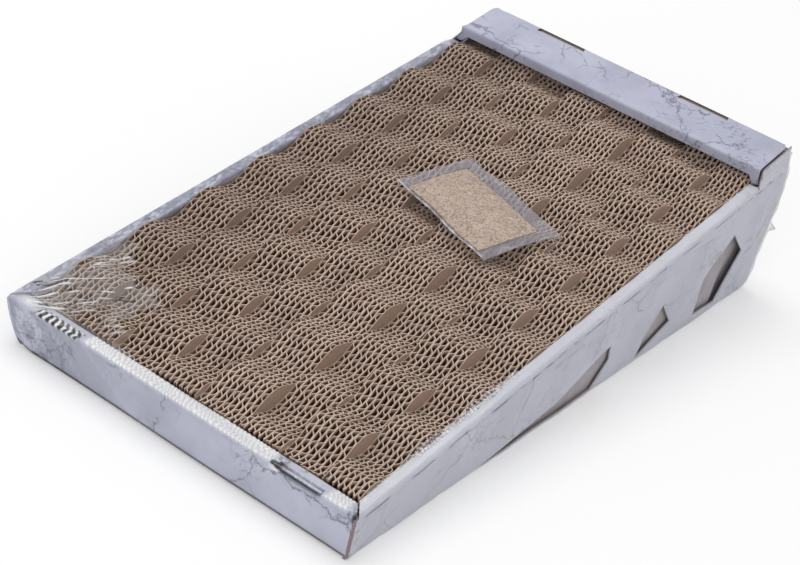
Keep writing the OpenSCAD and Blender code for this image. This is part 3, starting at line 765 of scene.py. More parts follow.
def pad_block(name, block):
    """One block of boards on edge. A liner is a straight ribbon along the pad. The medium between two
    liners is a ribbon along x = a sin(p) / sqrt(sin(p)2 + e2 cos(p)2), p = 2 pi s / flute + phase, with the
    thickness laid off square to that line. All of them run from the ramp up to the wave, whose cut edge is
    frayed by a little noise."""
    pad = settings("pad")
    rng = np.random.default_rng(SEED + 100 + block)
    half = (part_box("scratch_block_8")[1].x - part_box("scratch_block_1")[0].x) / 2
    low, high = half * EDGE_SHARES[block], half * EDGE_SHARES[block + 1]
    boards = BOARDS[block]
    pitch = (high - low) / boards
    start = (FRONT_RIM_W + 0.15 * MM + pad.wave_rise * math.sin(RIM_SLOPE)) / math.cos(RIM_SLOPE)
    points = node_points("scratch_block_%d" % (block + 1))
    run = to_slope(points[:, 1], points[:, 2])[0].max() - start

    def ribbons(x, d, half_x, half_s, wander):
        """Points, and depths under the cut edge for the painted shade in the finish, of ribbons at x and d
        with their half thickness"""
        fray = rng.normal(0, 0.55 * pad.fray, (len(x), d.shape[1]))
        level = rng.normal(0, 0.9 * pad.fray, (len(x), 1))
        top = wave_height(block, start + d) + level + wander + np.clip(fray, -2 * pad.fray, 2 * pad.fray)
        foot = np.full_like(top, -pad.depth)
        s = start + d
        left, right = (x - half_x, s - half_s), (x + half_x, s + half_s)
        rings = [on_slope(*left, foot), on_slope(*right, foot), on_slope(*right, top), on_slope(*left, top)]
        return np.stack(rings, 2), np.stack([top - foot, top - foot, 0 * foot, 0 * foot], 2)

    # Liners: one at each side of the block, and two glued back to back between its boards
    d = np.linspace(0, run, int(run / LINER_STEP))[None]
    middle = (low + pitch * np.arange(boards + 1))[:, None]
    thick = np.full_like(middle, 2 * pad.liner)
    thick[[0, -1]] = pad.liner
    middle[0] += pad.liner / 2 + 0.03 * MM
    middle[-1] -= pad.liner / 2 + 0.03 * MM
    wobble = 0.12 * MM * noise(d, middle * 9, (90, 50, 21), 300 + block)
    wobble[[0, -1]] *= 0.2
    wander = pad.fray * noise(d, middle * 20, (60, 31, 13), 200 + block)
    liners, liner_depth = ribbons(middle + wobble, d, thick / 2, 0, wander)
    # The block's own sides get no painted shade
    liner_depth[[0, -1]] = 0

    # Medium of each board
    d = np.linspace(0.3 * MM, run - 0.3 * MM, int(run / pad.flute_pitch * FLUTE_POINTS))[None]
    centre = (low + pitch * (np.arange(boards) + 0.5))[:, None]
    swing = (pitch - 2 * pad.liner - pad.medium) / 2 + 0.04 * MM
    drift = 0.35 * noise(d, centre * 30, (130, 60), 400 + block)
    # The flutes of neighbouring boards nearly line up, and wander off by half a radian a board
    shift = rng.uniform(0, 2 * math.pi) + np.cumsum(rng.normal(0, 0.5, (boards, 1)), 0)
    phase = 2 * math.pi * d / pad.flute_pitch + shift + drift
    square = np.sin(phase) ** 2 + pad.flank ** 2 * np.cos(phase) ** 2
    across = swing * np.cos(phase) * pad.flank ** 2 / square ** 1.5 * 2 * math.pi / pad.flute_pitch
    half_x = pad.medium / 2 / np.sqrt(1 + across ** 2)
    wander = pad.fray * noise(d, centre * 20, (50, 23, 11), 500 + block) - 0.15 * MM
    line = centre + swing * np.sin(phase) / np.sqrt(square)
    medium, medium_depth = ribbons(line, d, half_x, -across * half_x, wander)

    faces = [ribbon_faces(*ring.shape[:2]) for ring in (liners, medium)]
    faces[1] += liners[..., 0].size
    points = np.concatenate([liners.reshape(-1, 3), medium.reshape(-1, 3)])
    mesh = quad_mesh(name, film_squeeze(points), np.concatenate(faces))
    set_attribute(mesh, "depth", np.concatenate([liner_depth.ravel(), medium_depth.ravel()]))
    return mesh


def sachet_place(u, v, h):
    """Points of the pouch: u along it, v across it and h out of its flat, turned and sunk onto the pad. Its
    middle surface lies sag + droop (u2 / a2 + v2 / b2) / 2 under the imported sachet's seals."""
    sachet = settings("sachet")
    points = node_points("sachet_upper_film")
    s, n = to_slope(points[:, 1], points[:, 2])
    middle_x = (points[:, 0].min() + points[:, 0].max()) / 2 + POUCH_SHIFT[0]
    middle_s = (s.min() + s.max()) / 2 + POUCH_SHIFT[1]
    c, k = math.cos(sachet.turn), math.sin(sachet.turn)
    droop = sachet.droop * ((2 * u / sachet.length) ** 2 + (2 * v / sachet.width) ** 2) / 2
    curl = 1.3 * MM * noise(u, v, (70, 45), 600) * ramp(np.abs(v), 0.3 * sachet.width, 0.5 * sachet.width)
    level = n.min() + h - sachet.sag - droop + curl
    return on_slope(middle_x + u * c - v * k, middle_s + u * k + v * c, level)


def filled_part():
    """Ends of the filled part of the pouch, along it and across it."""
    sachet = settings("sachet")
    return (sachet.left_seal - sachet.length / 2, sachet.length / 2 - sachet.right_seal,
            sachet.fold - sachet.width / 2, sachet.width / 2 - sachet.long_seal)


def sachet_swell(u, v):
    """Share of the swell at a point of the pouch, (1 - a4)(1 - b4) over the filled part and 0 on the seals,
    and how far the point lies on a seal."""
    u0, u1, v0, v1 = filled_part()
    a, b = (2 * u - u0 - u1) / (u1 - u0), (2 * v - v0 - v1) / (v1 - v0)
    swell = np.clip(1 - a ** 4, 0, 1) * np.clip(1 - b ** 4, 0, 1)
    return swell, ramp(np.maximum(np.abs(a), np.abs(b)), 0.985, 1.03)


def closed_grid(name, top, bottom):
    """A closed mesh of two grids of points, rows by columns, joined along their edges."""
    rows, columns = top.shape[:2]
    index = np.arange(rows * columns).reshape(rows, columns)
    faces = np.stack([index[:-1, :-1], index[1:, :-1], index[1:, 1:], index[:-1, 1:]], -1).reshape(-1, 4)
    ring = np.concatenate([index[:-1, 0], index[-1, :-1], index[:0:-1, -1], index[0, :0:-1]])
    following, size = np.roll(ring, -1), rows * columns
    walls = np.stack([following, ring, ring + size, following + size], 1)
    points = np.concatenate([top.reshape(-1, 3), bottom.reshape(-1, 3)])
    first = points[faces[:, 0]]
    normal = np.cross(points[faces[:, 1]] - first, points[faces[:, 3]] - first)
    if (normal * (first - points[faces[:, 0] + size])).sum() < 0:
        faces, walls = faces[:, ::-1], walls[:, ::-1]
    return quad_mesh(name, points, np.concatenate([faces, faces[:, ::-1] + size, walls]), smooth=True)


def sachet_pouch(name):
    """The pouch's film: upper and lower side with wrinkles that run out of the filling, flat seals and a
    front fold."""
    sachet = settings("sachet")
    long, wide = sachet.length, sachet.width
    u, v = np.meshgrid(np.linspace(-0.5, 0.5, 116) * long, np.linspace(-0.5, 0.5, 76) * wide, indexing="ij")
    swell, seal = sachet_swell(u, v)
    crease = np.clip(1 - 3.2 * np.abs(noise(u, v, (19, 13, 30, 24), 610)), 0, 1) ** 3
    pucker = np.sin(2 * math.pi * (u + 0.3 * v) / (3.1 * MM)) * seal * 0.12 * MM
    lumps = 0.22 * MM * noise(u, v, (9, 6, 13, 4.5), 611) * swell
    upper = sachet.swell * swell + lumps + 0.3 * MM * crease * (0.35 + 0.65 * seal) + pucker + 0.16 * MM
    lower = -sachet.belly * swell + pucker + 0.3 * MM * crease * seal
    # The cut edges are drawn in between the corners
    pull = 1.2 * MM * (1 - (2 * v / wide) ** 2) * np.sign(u) * ramp(np.abs(u), 0.3 * long, 0.5 * long)
    narrow = 0.8 * MM * (1 - (2 * u / long) ** 2) * ramp(v, 0, 0.5 * wide)
    mesh = closed_grid(name, *(sachet_place(u - pull, v - narrow, level) for level in (upper, lower)))
    # Painted highlights: the creases, more on the seals, and the front fold are white
    front = 1 - ramp(v + wide / 2, 0.4 * MM, 2.2 * MM)
    white = 0.25 * crease * (0.4 + 0.6 * seal) + 0.75 * front * (0.5 + 0.5 * noise(u, v, (21, 9), 612))
    set_attribute(mesh, "crease", np.tile(np.clip(white, 0, 1).ravel(), 2))
    set_attribute(mesh, "seal", np.tile(seal.ravel(), 2))
    return mesh


# Corners of a flake, a flattened tetrahedron: along, across and up, as shares of its half length, width and
# tilt
FLAKE_SHARES = ((1, 0, 1), (-1, 0, -1), (-0.2, 1, 0), (0.3, -1, 0.6))
FLAKE_FACES = ((0, 2, 1), (0, 1, 3), (0, 3, 2), (1, 2, 3))


def sachet_leaf(name):
    """The dried leaf: a lumpy body that follows the pouch from inside, and thin pointed flakes on top of
    it."""
    sachet = settings("sachet")
    rng = np.random.default_rng(SEED + 620)
    u0, u1, v0, v1 = filled_part()
    inset = 1.2 * MM

    def surface(u, v, side):
        swell = sachet_swell(u, v)[0]
        lumps = 0.2 * MM * noise(u, v, (7, 4.5, 3.1), 621) * swell
        rise = sachet.swell if side > 0 else -sachet.belly
        return rise * swell * 0.93 + lumps - side * 0.12 * MM * np.minimum(1, 4 * swell)

    grid = (np.linspace(a + inset, b - inset, steps) for a, b, steps in ((u0, u1, 110), (v0, v1, 70)))
    u, v = np.meshgrid(*grid, indexing="ij")
    body = closed_grid(name, *(sachet_place(u, v, surface(u, v, side)) for side in (1, -1)))
    points, size = mesh_points(body), len(body.vertices)
    quads = np.empty(len(body.polygons) * 4, np.int32)
    body.polygons.foreach_get("vertices", quads)
    bpy.data.meshes.remove(body)

    flakes = sachet.flakes
    u, v = (rng.uniform(a + 2 * inset, b - 2 * inset, flakes) for a, b in ((u0, u1), (v0, v1)))
    heading, long = rng.uniform(0, 2 * math.pi, flakes), rng.uniform(0.5, 1.3, flakes) * MM
    wide, tilt = long * rng.uniform(0.2, 0.55, flakes), rng.normal(0, 0.12, flakes) * MM
    corners = []
    for along, across, up in FLAKE_SHARES:
        pu = u + along * long * np.cos(heading) - across * wide * np.sin(heading)
        pv = v + along * long * np.sin(heading) + across * wide * np.cos(heading)
        lift = 0.1 * MM + up * tilt + (0.12 * MM if up == 0 else 0)
        corners.append(sachet_place(pu, pv, surface(pu, pv, 1) + lift))
    start = size + 4 * np.arange(flakes)[:, None]
    faces = np.concatenate([start + np.array(face) for face in FLAKE_FACES])
    points = np.concatenate([points, np.stack(corners, 1).reshape(-1, 3)])
    mesh = quad_mesh(name, points, [quads.reshape(-1, 4), faces])
    made = bmesh.new()
    made.from_mesh(mesh)
    bmesh.ops.recalc_face_normals(made, faces=made.faces[:])
    made.to_mesh(mesh)
    made.free()
    tones = rng.uniform(0, 1, size), np.repeat(rng.uniform(0, 1, flakes), 4)
    set_attribute(mesh, "tone", np.concatenate(tones))
    return mesh


def film_skin(name, blank, wrinkle, holes, step=1):
    """The film on a board: the board's outer face again on a finer grid, lifted off it by the gap and its
    folds. wrinkle() gives for points of the blank the height of the folds, and on the creases a painted
    highlight where its second number is above 0 and a painted dark reflection where it is below 0.
    step is the share of the film's cell that the points keep along the blank."""
    film = settings("film")

    def lifted(flat):
        points, normal = blank["place"](flat)
        return points + normal * (film.gap + np.maximum(wrinkle(flat)[0], 0))[:, None], normal

    us = np.arange(min(blank["us"]), max(blank["us"]), film.cell * step)
    vs = np.arange(min(blank["vs"]), max(blank["vs"]), film.cell)
    vs = np.unique(np.round(np.concatenate([blank["vs"], vs]), 6))
    vs = vs[np.concatenate([[True], np.diff(vs) > 0.35 * MM])]
    return board_sheet(name, blank["outline"], holes, us, vs, lifted, film.sheet,
                       crease=lambda flat: wrinkle(flat)[1])


def side_wrinkle(side):
    """Folds of the film on a side: fine crumples along the rim, long slack lines on the wall, and upright
    folds on the ear, where the film was gathered. Their creases get painted highlights and painted dark
    reflections."""
    film, seed = settings("film"), 700 + 20 * side
    ear = to_slope(HEADER_Y, WALL_FRONT_Z)[0]

    def wrinkle(flat):
        s, m = flat.T
        rim = ramp(m, -4 * MM, -1 * MM)
        patch = ramp(noise(s, 0 * m, (90, 51, 33), seed), -0.1, 0.5)
        crumple = ridges(s, m * 1.5, (8.5, 13, 6.2), seed + 1) * rim * (0.25 + 0.75 * patch)
        slack = ridges(s * 0.3 + m * 0.5, m, (30, 19, 47), seed + 2, 6) * (1 - rim)
        upright = ridges(s * 1.1 + m * 0.45, m * 0.25, (17, 11, 26), seed + 3, 3.5)
        upright *= ramp(s, ear - 50 * MM, ear + 8 * MM)
        height = film.wrinkle * (0.8 * crumple + 0.5 * slack + 2.2 * upright)
        # A painted sheen on the right side, more on its rim, and a faint painted grey shade on the whole left
        # side
        white = 0.36 * crumple + 0.05 * slack * (0.3 + 0.7 * patch) + 0.16 * upright
        white = np.maximum(white, film.glaze + film.rim_glaze * rim) if side > 0 else 0.7 * white - 0.08
        # The film's edge lies along the rim's fold, painted as a broken dark line of shade
        seam = bell(m + 3.4 * MM + 0.5 * MM * noise(s, 0 * m, (50, 21), seed + 6), 0.45 * MM)
        seam *= ramp(noise(s, 0 * m, (24, 13.1, 39), seed + 5), -0.25, 0.1)
        shade = ridges(s + 4 * MM, m * 1.5, (7.8, 12, 6.9), seed + 4) * rim * patch * ramp(m, 8 * MM, 13 * MM)
        shade = np.maximum(shade, 0.7 * seam)
        return height, np.clip(white * (1 - shade) - 0.45 * shade, -1, 1)

    return wrinkle


# The film's marks on the front: where each starts and ends across the tray, in millimetres from its middle
RIBBED_BAND = (-69, 68)
BAND_END = (101, 119)
LEFT_PLEATS = (-104, -69)
RIGHT_GAP = (72, 102)
RIGHT_DASHES = (78, 98)
# Middles across the tray and along the blank, in the same way
KNOT = (70, 2)
BRIGHT_PATCH = (-112, 6)
ROUND_CREASE = (-108, -13)


def front_wrinkle(flat):
    """Folds of the film on the front: a ribbed band on the rim, where the film was gathered, with painted
    white highlights on its ribs, pleats over the left slot with painted highlights and dark reflections, a
    knot with the same at the right slot and a painted shadow in the slot's gap, a painted highlight patch at
    the left corner, a notch of painted shade at the right one, and a round crease with a few long lines on
    the wall, with faint painted highlights."""
    film = settings("film")
    x, m = flat.T

    def between(span, soft=4):
        start, end = span
        return ramp(x, start * MM, (start + soft) * MM) * (1 - ramp(x, (end - soft) * MM, end * MM))

    def spot(middle, width, height, power):
        return bell(x - middle[0] * MM, width * MM, power) * bell(m - middle[1] * MM, height * MM, power)

    rim = ramp(m, 0.2 * MM, 2.4 * MM)
    lean = x + 0.75 * m + 2.4 * MM * noise(x, m * 0.6, (19, 11, 31, 8), 741)
    rib = 0.5 + 0.5 * np.sin(2 * math.pi * lean / film.rib_pitch)
    band = (between(RIBBED_BAND) + 0.85 * between(BAND_END)) * rim * (0.8 + 0.2 * noise(x, m, (30, 12), 742))
    skew = x - 1.5 * m + 2.2 * MM * noise(x, m, (17, 9, 6), 746)
    pleat = np.sin(2 * math.pi * skew / (1.5 * film.rib_pitch)) + 0.5 * noise(x, m, (5, 8), 749)
    pleats = np.clip(1.6 * pleat, -1, 1) * between(LEFT_PLEATS) * ramp(m, 0.3 * MM, 0.9 * MM)
    pleats *= 1 - ramp(m, 5.5 * MM, 8 * MM)
    knot = np.clip(3 * noise(x, m * 0.8, (4.2, 3.1, 5.5), 747) - 0.3, -1, 1) * spot(KNOT, 3.2, 3.4, 4)
    # Painted shadow in the gap at the right slot, and painted shade in the notch at the right corner
    gap = between(RIGHT_GAP) * bell(m - 0.7 * MM, 0.6 * MM, 4) * (1 - np.abs(knot))
    notch = spot((HALF_W / MM - 1.2, 0.6), 1.1, 3.2, 4)
    dashes = ridges(lean, m * 0.3, (3.6, 5.2), 748, 1.6) * between(RIGHT_DASHES) * rim
    patch = spot(BRIGHT_PATCH, 5, 3.5, 2)
    ring = np.hypot(x - ROUND_CREASE[0] * MM, m - ROUND_CREASE[1] * MM)
    ring += 0.6 * MM * noise(x, m, (20, 13), 743)
    rings = bell(ring - 8 * MM, 0.6 * MM) + 0.6 * bell(ring - 10.5 * MM, 0.7 * MM)
    lines = ridges(x * 0.6 + m, m * 0.8, (40, 27, 61), 744, 7) * (1 - rim)
    corner = ridges(x, m, (12, 8, 17), 745, 4) * (1 - ramp(x + HALF_W, 10 * MM, 34 * MM)) * (1 - rim)
    flat_share = (1 - np.abs(pleats)) * (1 - np.abs(knot))
    height = 1.1 * band * rib + 1.6 * np.abs(pleats) + np.abs(knot) + 0.8 * rings + 0.5 * lines + 0.9 * corner
    white = band * (0.42 + 0.75 * rib) + 0.9 * patch + 0.16 * rings + 0.04 * lines
    white = white + 0.15 * corner + 0.25 * dashes
    white = np.clip(white, 0, 1) * flat_share + 0.9 * pleats + 0.9 * knot
    # A faint painted grey shade on the left half of the wall
    white -= 0.05 * (1 - ramp(x, -100 * MM, 20 * MM)) * (1 - rim)
    return film.wrinkle * height, np.clip(white * (1 - gap) * (1 - notch) - gap - 0.9 * notch, -1, 1)


def back_wrinkle(flat):
    """Slack folds of the film down the back wall, with painted highlights along them."""
    x, z = flat.T
    lines = ridges(x + 0.3 * z, z * 0.2, (50, 32, 21), 750, 4)
    return settings("film").wrinkle * 1.5 * lines, 0.3 * lines


# Least and most of a corner pleat's angle from the front rim, its distance from the corner as a share of
# the fan's reach, its direction, half its length and width in millimetres, and its strength
PLEAT_RANGES = ((14, 0.18, 42, 2.5, 0.28, 0.25), (80, 0.92, 50, 9.5, 0.6, 1))


def corner_fan(name):
    """The film that bridges the front left corner, over both rims and onto the pad's crests, with short
    pleats that spread a little from one direction, each a narrow ridge exp(-(d / w)2) of its own length, most
    painted with a bright highlight and every third with a dark reflection."""
    film = settings("film")
    rng = np.random.default_rng(SEED + 760)
    r, angle = np.meshgrid(np.linspace(0.03, 1, 150), np.radians(np.linspace(1, 89, 300)), indexing="ij")
    r = r * film.fan_reach * (0.86 + 0.14 * noise(angle, 0 * angle, (700, 310, 170), 761))
    x, s = r * np.cos(angle), r * np.sin(angle)
    on_rim = -np.minimum(s, FRONT_RIM_W) * math.tan(RIM_SLOPE) * (1 - ramp(s, FRONT_RIM_W, 20 * MM))
    over_pad = ramp(s, FRONT_RIM_W, 30 * MM) * ramp(x, 7 * MM, 15 * MM)
    n = 0.35 * MM + on_rim * (1 - over_pad) + 2.5 * MM * over_pad
    pleats = np.zeros_like(r)
    draws = rng.uniform(*PLEAT_RANGES, (film.pleats, len(PLEAT_RANGES[0])))
    for k, (where, far, turn, half, width, strength) in enumerate(draws):
        where, far, half = math.radians(where), far * film.fan_reach, half * MM
        turn = 0.3 * where + 0.7 * math.radians(turn)
        dx, ds = x - far * math.cos(where), s - far * math.sin(where)
        along = dx * math.cos(turn) + ds * math.sin(turn)
        apart = ds * math.cos(turn) - dx * math.sin(turn) + 0.25 * MM * np.sin(along / (3.1 * MM) + k)
        line = bell(apart, width * MM) * (1 - ramp(np.abs(along), 0.35 * half, half)) * strength
        # Every third pleat is painted dark, as a reflection of the dark board
        line *= -0.75 if k % 3 == 2 else 1
        pleats = np.where(np.abs(line) > np.abs(pleats), line, pleats)
    soft = 0.5 * MM * noise(r * 0.3, angle * 0.04, (11, 7), 762) * ramp(r, 5 * MM, 30 * MM)
    n += 0.8 * MM * np.abs(pleats) + soft
    inset = 0.6 * MM
    sheets = (on_slope(x - HALF_W + inset, s + inset, level) for level in (n, n - film.sheet))
    mesh = closed_grid(name, *map(film_squeeze, sheets))
    veil = 0.13 * (1 - ramp(r, 12 * MM, 50 * MM)) * (0.7 + 0.3 * noise(x, s, (13, 9), 763))
    veil *= 1 - np.clip(3 * np.abs(pleats), 0, 1)
    set_attribute(mesh, "crease", np.tile(np.clip(pleats + veil, -1, 1).ravel(), 2))
    return mesh


def rim_ruffle(name):
    """The film's crumpled edge along the right rim, where it stands up over the pad in short ruffles."""
    film = settings("film")
    along, out = np.meshgrid(np.linspace(16, 150, 460) * MM, np.linspace(0, 1, 13), indexing="ij")
    stand = np.clip(noise(along, 0 * out, (61, 27, 43), 770) + 0.3, 0, 1)
    bend = stand * np.sin(math.pi * np.minimum(out + 0.25, 1))
    x = PAD_ROOM + 3.2 * MM * (1 - out) - 1.5 * MM * out * stand
    x += 1.3 * MM * bend * noise(along, out * 6 * MM, (6.3, 4.1, 8.8), 771)
    n = 0.4 * MM + 3.4 * MM * stand * out ** 1.5
    n += 1.1 * MM * bend * noise(along, out * 6 * MM, (5.2, 3.5, 7.9), 772)
    n = np.maximum(n, 0.35 * MM)
    mesh = closed_grid(name, on_slope(x, along, n), on_slope(x, along, n - film.sheet))
    # Painted highlights and dark reflections on the ruffles
    white = ridges(along, out * 7 * MM, (5.3, 4.1, 7.2), 773, 2) * (0.25 + 0.75 * stand) + 0.12 * stand
    dark = ridges(along, out * 5 * MM, (6.1, 4.4, 8.3), 774, 2.4) * stand
    set_attribute(mesh, "crease", np.tile(np.clip(0.9 * white * (1 - dark) - 0.6 * dark, -1, 1).ravel(), 2))
    return mesh


def corner_fin(name, side):
    """The film's welded seam down a back corner: a narrow ragged fin with one torn spike near the middle."""
    film = settings("film")
    height, out = np.meshgrid(np.linspace(5 * MM, HINGE_Z - 4 * MM, 190), np.linspace(0, 1, 7), indexing="ij")
    ragged = np.maximum(0.9 * MM + 0.8 * MM * noise(height, 0 * out, (13, 8.5, 21), 780 + side), 0.3 * MM)
    spike = film.spike * np.clip(1 - np.abs(height - 0.43 * HINGE_Z) / (3.5 * MM), 0, 1)
    reach = out * (ragged + spike)
    x = side * (HALF_W + 0.05 * MM + 0.6 * reach)
    y = np.minimum(*back_faces(height)) + 0.1 * MM + 0.8 * reach
    points = np.stack([x, y, height - 0.35 * reach], -1)
    mesh = closed_grid(name, film_squeeze(points), film_squeeze(points - [side * film.sheet, 0, 0]))
    # The fin is painted with a faint dark reflection, darker towards its edge
    set_attribute(mesh, "crease", np.tile((-0.1 - 0.22 * out).ravel(), 2))
    return mesh


class ScratcherOperator(bpy.types.Operator):
    bl_options = {"REGISTER", "UNDO"}


# Tray boards that keep their CAD shape: the slot, the finish and the nodes
FLAT_BOARDS = (
    ("printed_board", "printed_marble_board", ("front_inner_wall", "front_left_flap", "front_right_flap")),
    ("plain_board", "plain_grey_liner",
     ("left_inner_wall", "right_inner_wall", "rear_left_flap", "rear_right_flap")),
    ("kraft_board", "raw_kraft_liner", ("base_panel",)),
)
# The pad presses the inner side walls out towards the claw windows
BULGES = {"left_inner_wall": -3 * MM, "right_inner_wall": 3 * MM}
HIDDEN_BOARDS = ("ramp_panel", "ramp_middle_leg", "ramp_rear_leg")


class SCRATCHER_OT_tray(ScratcherOperator):
    """Builds the folded tray: side, front and back boards with rolled rims, and the flaps and panels
    inside"""
    bl_idname = "scratcher.tray"
    bl_label = "Folded Tray"

    def execute(self, context):
        board = ("printed_marble_board", "plain_grey_liner", "worn_board_edge")
        for side, sign, edge in (("left", -1, board[0]), ("right", 1, board[2])):
            mesh = board_sheet(side + "_side_board", **side_blank(sign), hole_edge=1)
            link_mesh(mesh, "tray", (*board[:2], edge), (side + "_wall", side + "_rim"))
        mesh = board_sheet("front_board", **front_blank(), hole_edge=0)
        link_mesh(mesh, "tray", board, ("front_wall", "front_rim"))
        link_mesh(board_sheet("back_board", **back_blank()), "tray", board, ("back_wall",))
        for slot, material, nodes in FLAT_BOARDS:
            for node in nodes:
                mesh = board_copy(node + "_board", node, 12 * MM, BULGES.get(node, 0))
                link_mesh(mesh, "tray", (material,), (node,))
        for node in HIDDEN_BOARDS:
            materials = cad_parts[node].data.materials
            materials.clear()
            materials.append(bpy.data.materials["raw_kraft_liner"])
        return {"FINISHED"}


class SCRATCHER_OT_pad(ScratcherOperator):
    """Builds the scratching pad: eight blocks of corrugated boards on edge, each with its own wave"""
    bl_idname = "scratcher.pad"
    bl_label = "Scratching Pad"

    def execute(self, context):
        for block in range(len(BOARDS)):
            node = "scratch_block_%d" % (block + 1)
            mesh = pad_block("corrugated_block_%d" % (block + 1), block)
            link_mesh(mesh, "tray", ("sawn_corrugated_board",), (node,))
        return {"FINISHED"}


class SCRATCHER_OT_header(ScratcherOperator):
    """Builds the hinged header flap with its lip and lock slots"""
    bl_idname = "scratcher.header"
    bl_label = "Header"

    def execute(self, context):
        board = ("printed_marble_board", "plain_grey_liner", "printed_marble_board", "cut_board_edge")
        mesh = board_sheet("header_flap", **header_blank(), hole_edge=3)
        link_mesh(mesh, "header", board, ("header_top", "header_lip"))
        return {"FINISHED"}


class SCRATCHER_OT_sachet(ScratcherOperator):
    """Builds the catnip sachet: the frosted pouch and the dried leaf in it"""
    bl_idname = "scratcher.sachet"
    bl_label = "Catnip Sachet"

    def execute(self, context):
        link_mesh(sachet_pouch("sachet_pouch"), "sachet", ("frosted_pouch_film",),
                  ("sachet_upper_film", "sachet_lower_film"))
        link_mesh(sachet_leaf("sachet_leaf"), "sachet", ("dried_catnip_leaf",),
                  ("catnip_filling",))
        return {"FINISHED"}


class SCRATCHER_OT_film(ScratcherOperator):
    """Builds the clear shrink film: skins on the four sides, and its gathered, pleated and torn places"""
    bl_idname = "scratcher.film"
    bl_label = "Shrink Film"

    def execute(self, context):
        meshes = [film_skin("front_film", front_blank(), front_wrinkle, [], 0.28),
                  film_skin("back_film", back_blank(), back_wrinkle, [])]
        for side, sign in (("left", -1), ("right", 1)):
            meshes.append(film_skin(side + "_film", side_blank(sign), side_wrinkle(sign), window_loops()))
            meshes.append(corner_fin(side + "_fin", sign))
        meshes += [corner_fan("corner_fan"), rim_ruffle("rim_ruffle")]
        for mesh in meshes:
            replaces = ("shrink_film",) if mesh.name == "front_film" else ()
            link_mesh(mesh, "tray", ("clear_shrink_film",) * 3, replaces)
        return {"FINISHED"}


def patches(add, place, scale, start, end, detail=2):
    """Soft patches of a noise pattern: 0 below start and 1 above end."""
    noise = add("TexNoise", {"Vector": place, "Scale": scale, "Detail": detail})
    return add("MapRange", (noise, start, end))


def colour_ramp(add, factor, *stops):
    """Colours along a factor between two stops, each a place and a colour."""
    new = add("ValToRGB", {"Fac": factor})
    for element, (place, colour) in zip(new.color_ramp.elements, stops):
        element.position, element.color = place, colour
    return new


def make_printed_board(tray):
    """Coated white-top liner with an offset print of grey-veined stone, under a thin varnish: long broken
    cracks with side branches, patches of short dark squiggles, and soft clouds in the pale blue-grey
    ground."""
    add = new_material("printed_marble_board")
    place = add("TexCoord").outputs["Object"]
    drift = add("TexNoise", {"Vector": place, "Scale": 55, "Detail": 6, "Roughness": 0.7}).outputs["Color"]
    shift = add("VectorMath", (drift, (0.5, 0.5, 0.5)), operation="SUBTRACT")

    def cells(bend, scale):
        vector = add("VectorMath", (shift, (bend, bend, bend), place), operation="MULTIPLY_ADD")
        return add("TexVoronoi", {"Vector": vector, "Scale": scale}, feature="DISTANCE_TO_EDGE")

    def lines(distance, width):
        return add("MapRange", (distance, 0.3 * width, width, 1, 0))

    # Clouds of the ground colour, 20 to 60 mm across
    cloud = add("TexNoise", {"Vector": place, "Scale": 26, "Detail": 4, "Roughness": 0.6})
    dark, light = (linear(tray.print_colour, tint) for tint in ((0.84, 0.85, 0.87), (1.07, 1.07, 1.05)))
    ground = colour_ramp(add, cloud, (0.32, dark), (0.66, light))
    # Cracks about 0.5 mm wide along cells 60 mm across, and branches along cells of 20 mm near them
    crack_cells = cells(0.024, 15)
    cracks = add("Math", (lines(crack_cells, 0.011), patches(add, place, 22, 0.42, 0.5)),
                 operation="MULTIPLY")
    near = lines(crack_cells, 0.3)
    branches = add("Math", (lines(cells(0.016, 48), 0.028), patches(add, place, 40, 0.5, 0.58)),
                   operation="MULTIPLY")
    branches = add("Math", (branches, near), operation="MULTIPLY")
    # Squiggles 2 to 5 mm long, in patches
    squiggles = add("Math", (lines(cells(0.009, 180), 0.12), patches(add, place, 300, 0.46, 0.56, 1)),
                    operation="MULTIPLY")
    squiggles = add("Math", (squiggles, patches(add, place, 36, 0.53, 0.62)), operation="MULTIPLY")
    # A grey bruise round the marks
    bruise = add("Math", (near, patches(add, place, 30, 0.45, 0.7)), operation="MULTIPLY")
    marks = None
    for pattern, strength in ((squiggles, 0.5), (branches, 0.6), (cracks, 0.8), (bruise, 0.16)):
        pattern = add("Math", (pattern, strength), operation="MULTIPLY")
        marks = add("Math", (pattern, marks), operation="MAXIMUM") if marks else pattern
    veins = linear(tray.vein_colour)
    colour = add("Mix", {"Factor": marks, "A": ground, "B": veins}, data_type="RGBA")
    # A painted shadow darkens the foot of the front wall, along the crease where it meets the floor
    split = add("SeparateXYZ", {"Vector": place}).outputs
    low = add("MapRange", (split["Z"], tray.crease_height - 0.5 * MM, tray.crease_height, 0.95, 0))
    fore = add("MapRange", (split["Y"], FRONT_Y + 4 * MM, FRONT_Y + 5 * MM, 1, 0))
    worn = add("Math", (low, fore), operation="MULTIPLY")
    colour = add("Mix", {"Factor": worn, "A": colour, "B": linear(tray.crease_colour)}, data_type="RGBA")
    fibre = add("TexNoise", {"Vector": place, "Scale": 900, "Detail": 2})
    bump = add("Bump", {"Height": fibre, "Strength": 0.05, "Distance": 0.3 * MM})
    varnish = {"Base Color": colour, "Roughness": 0.42, "IOR": PAPER_IOR, "Normal": bump}
    add("OutputMaterial", {"Surface": add("BsdfPrincipled", varnish)})


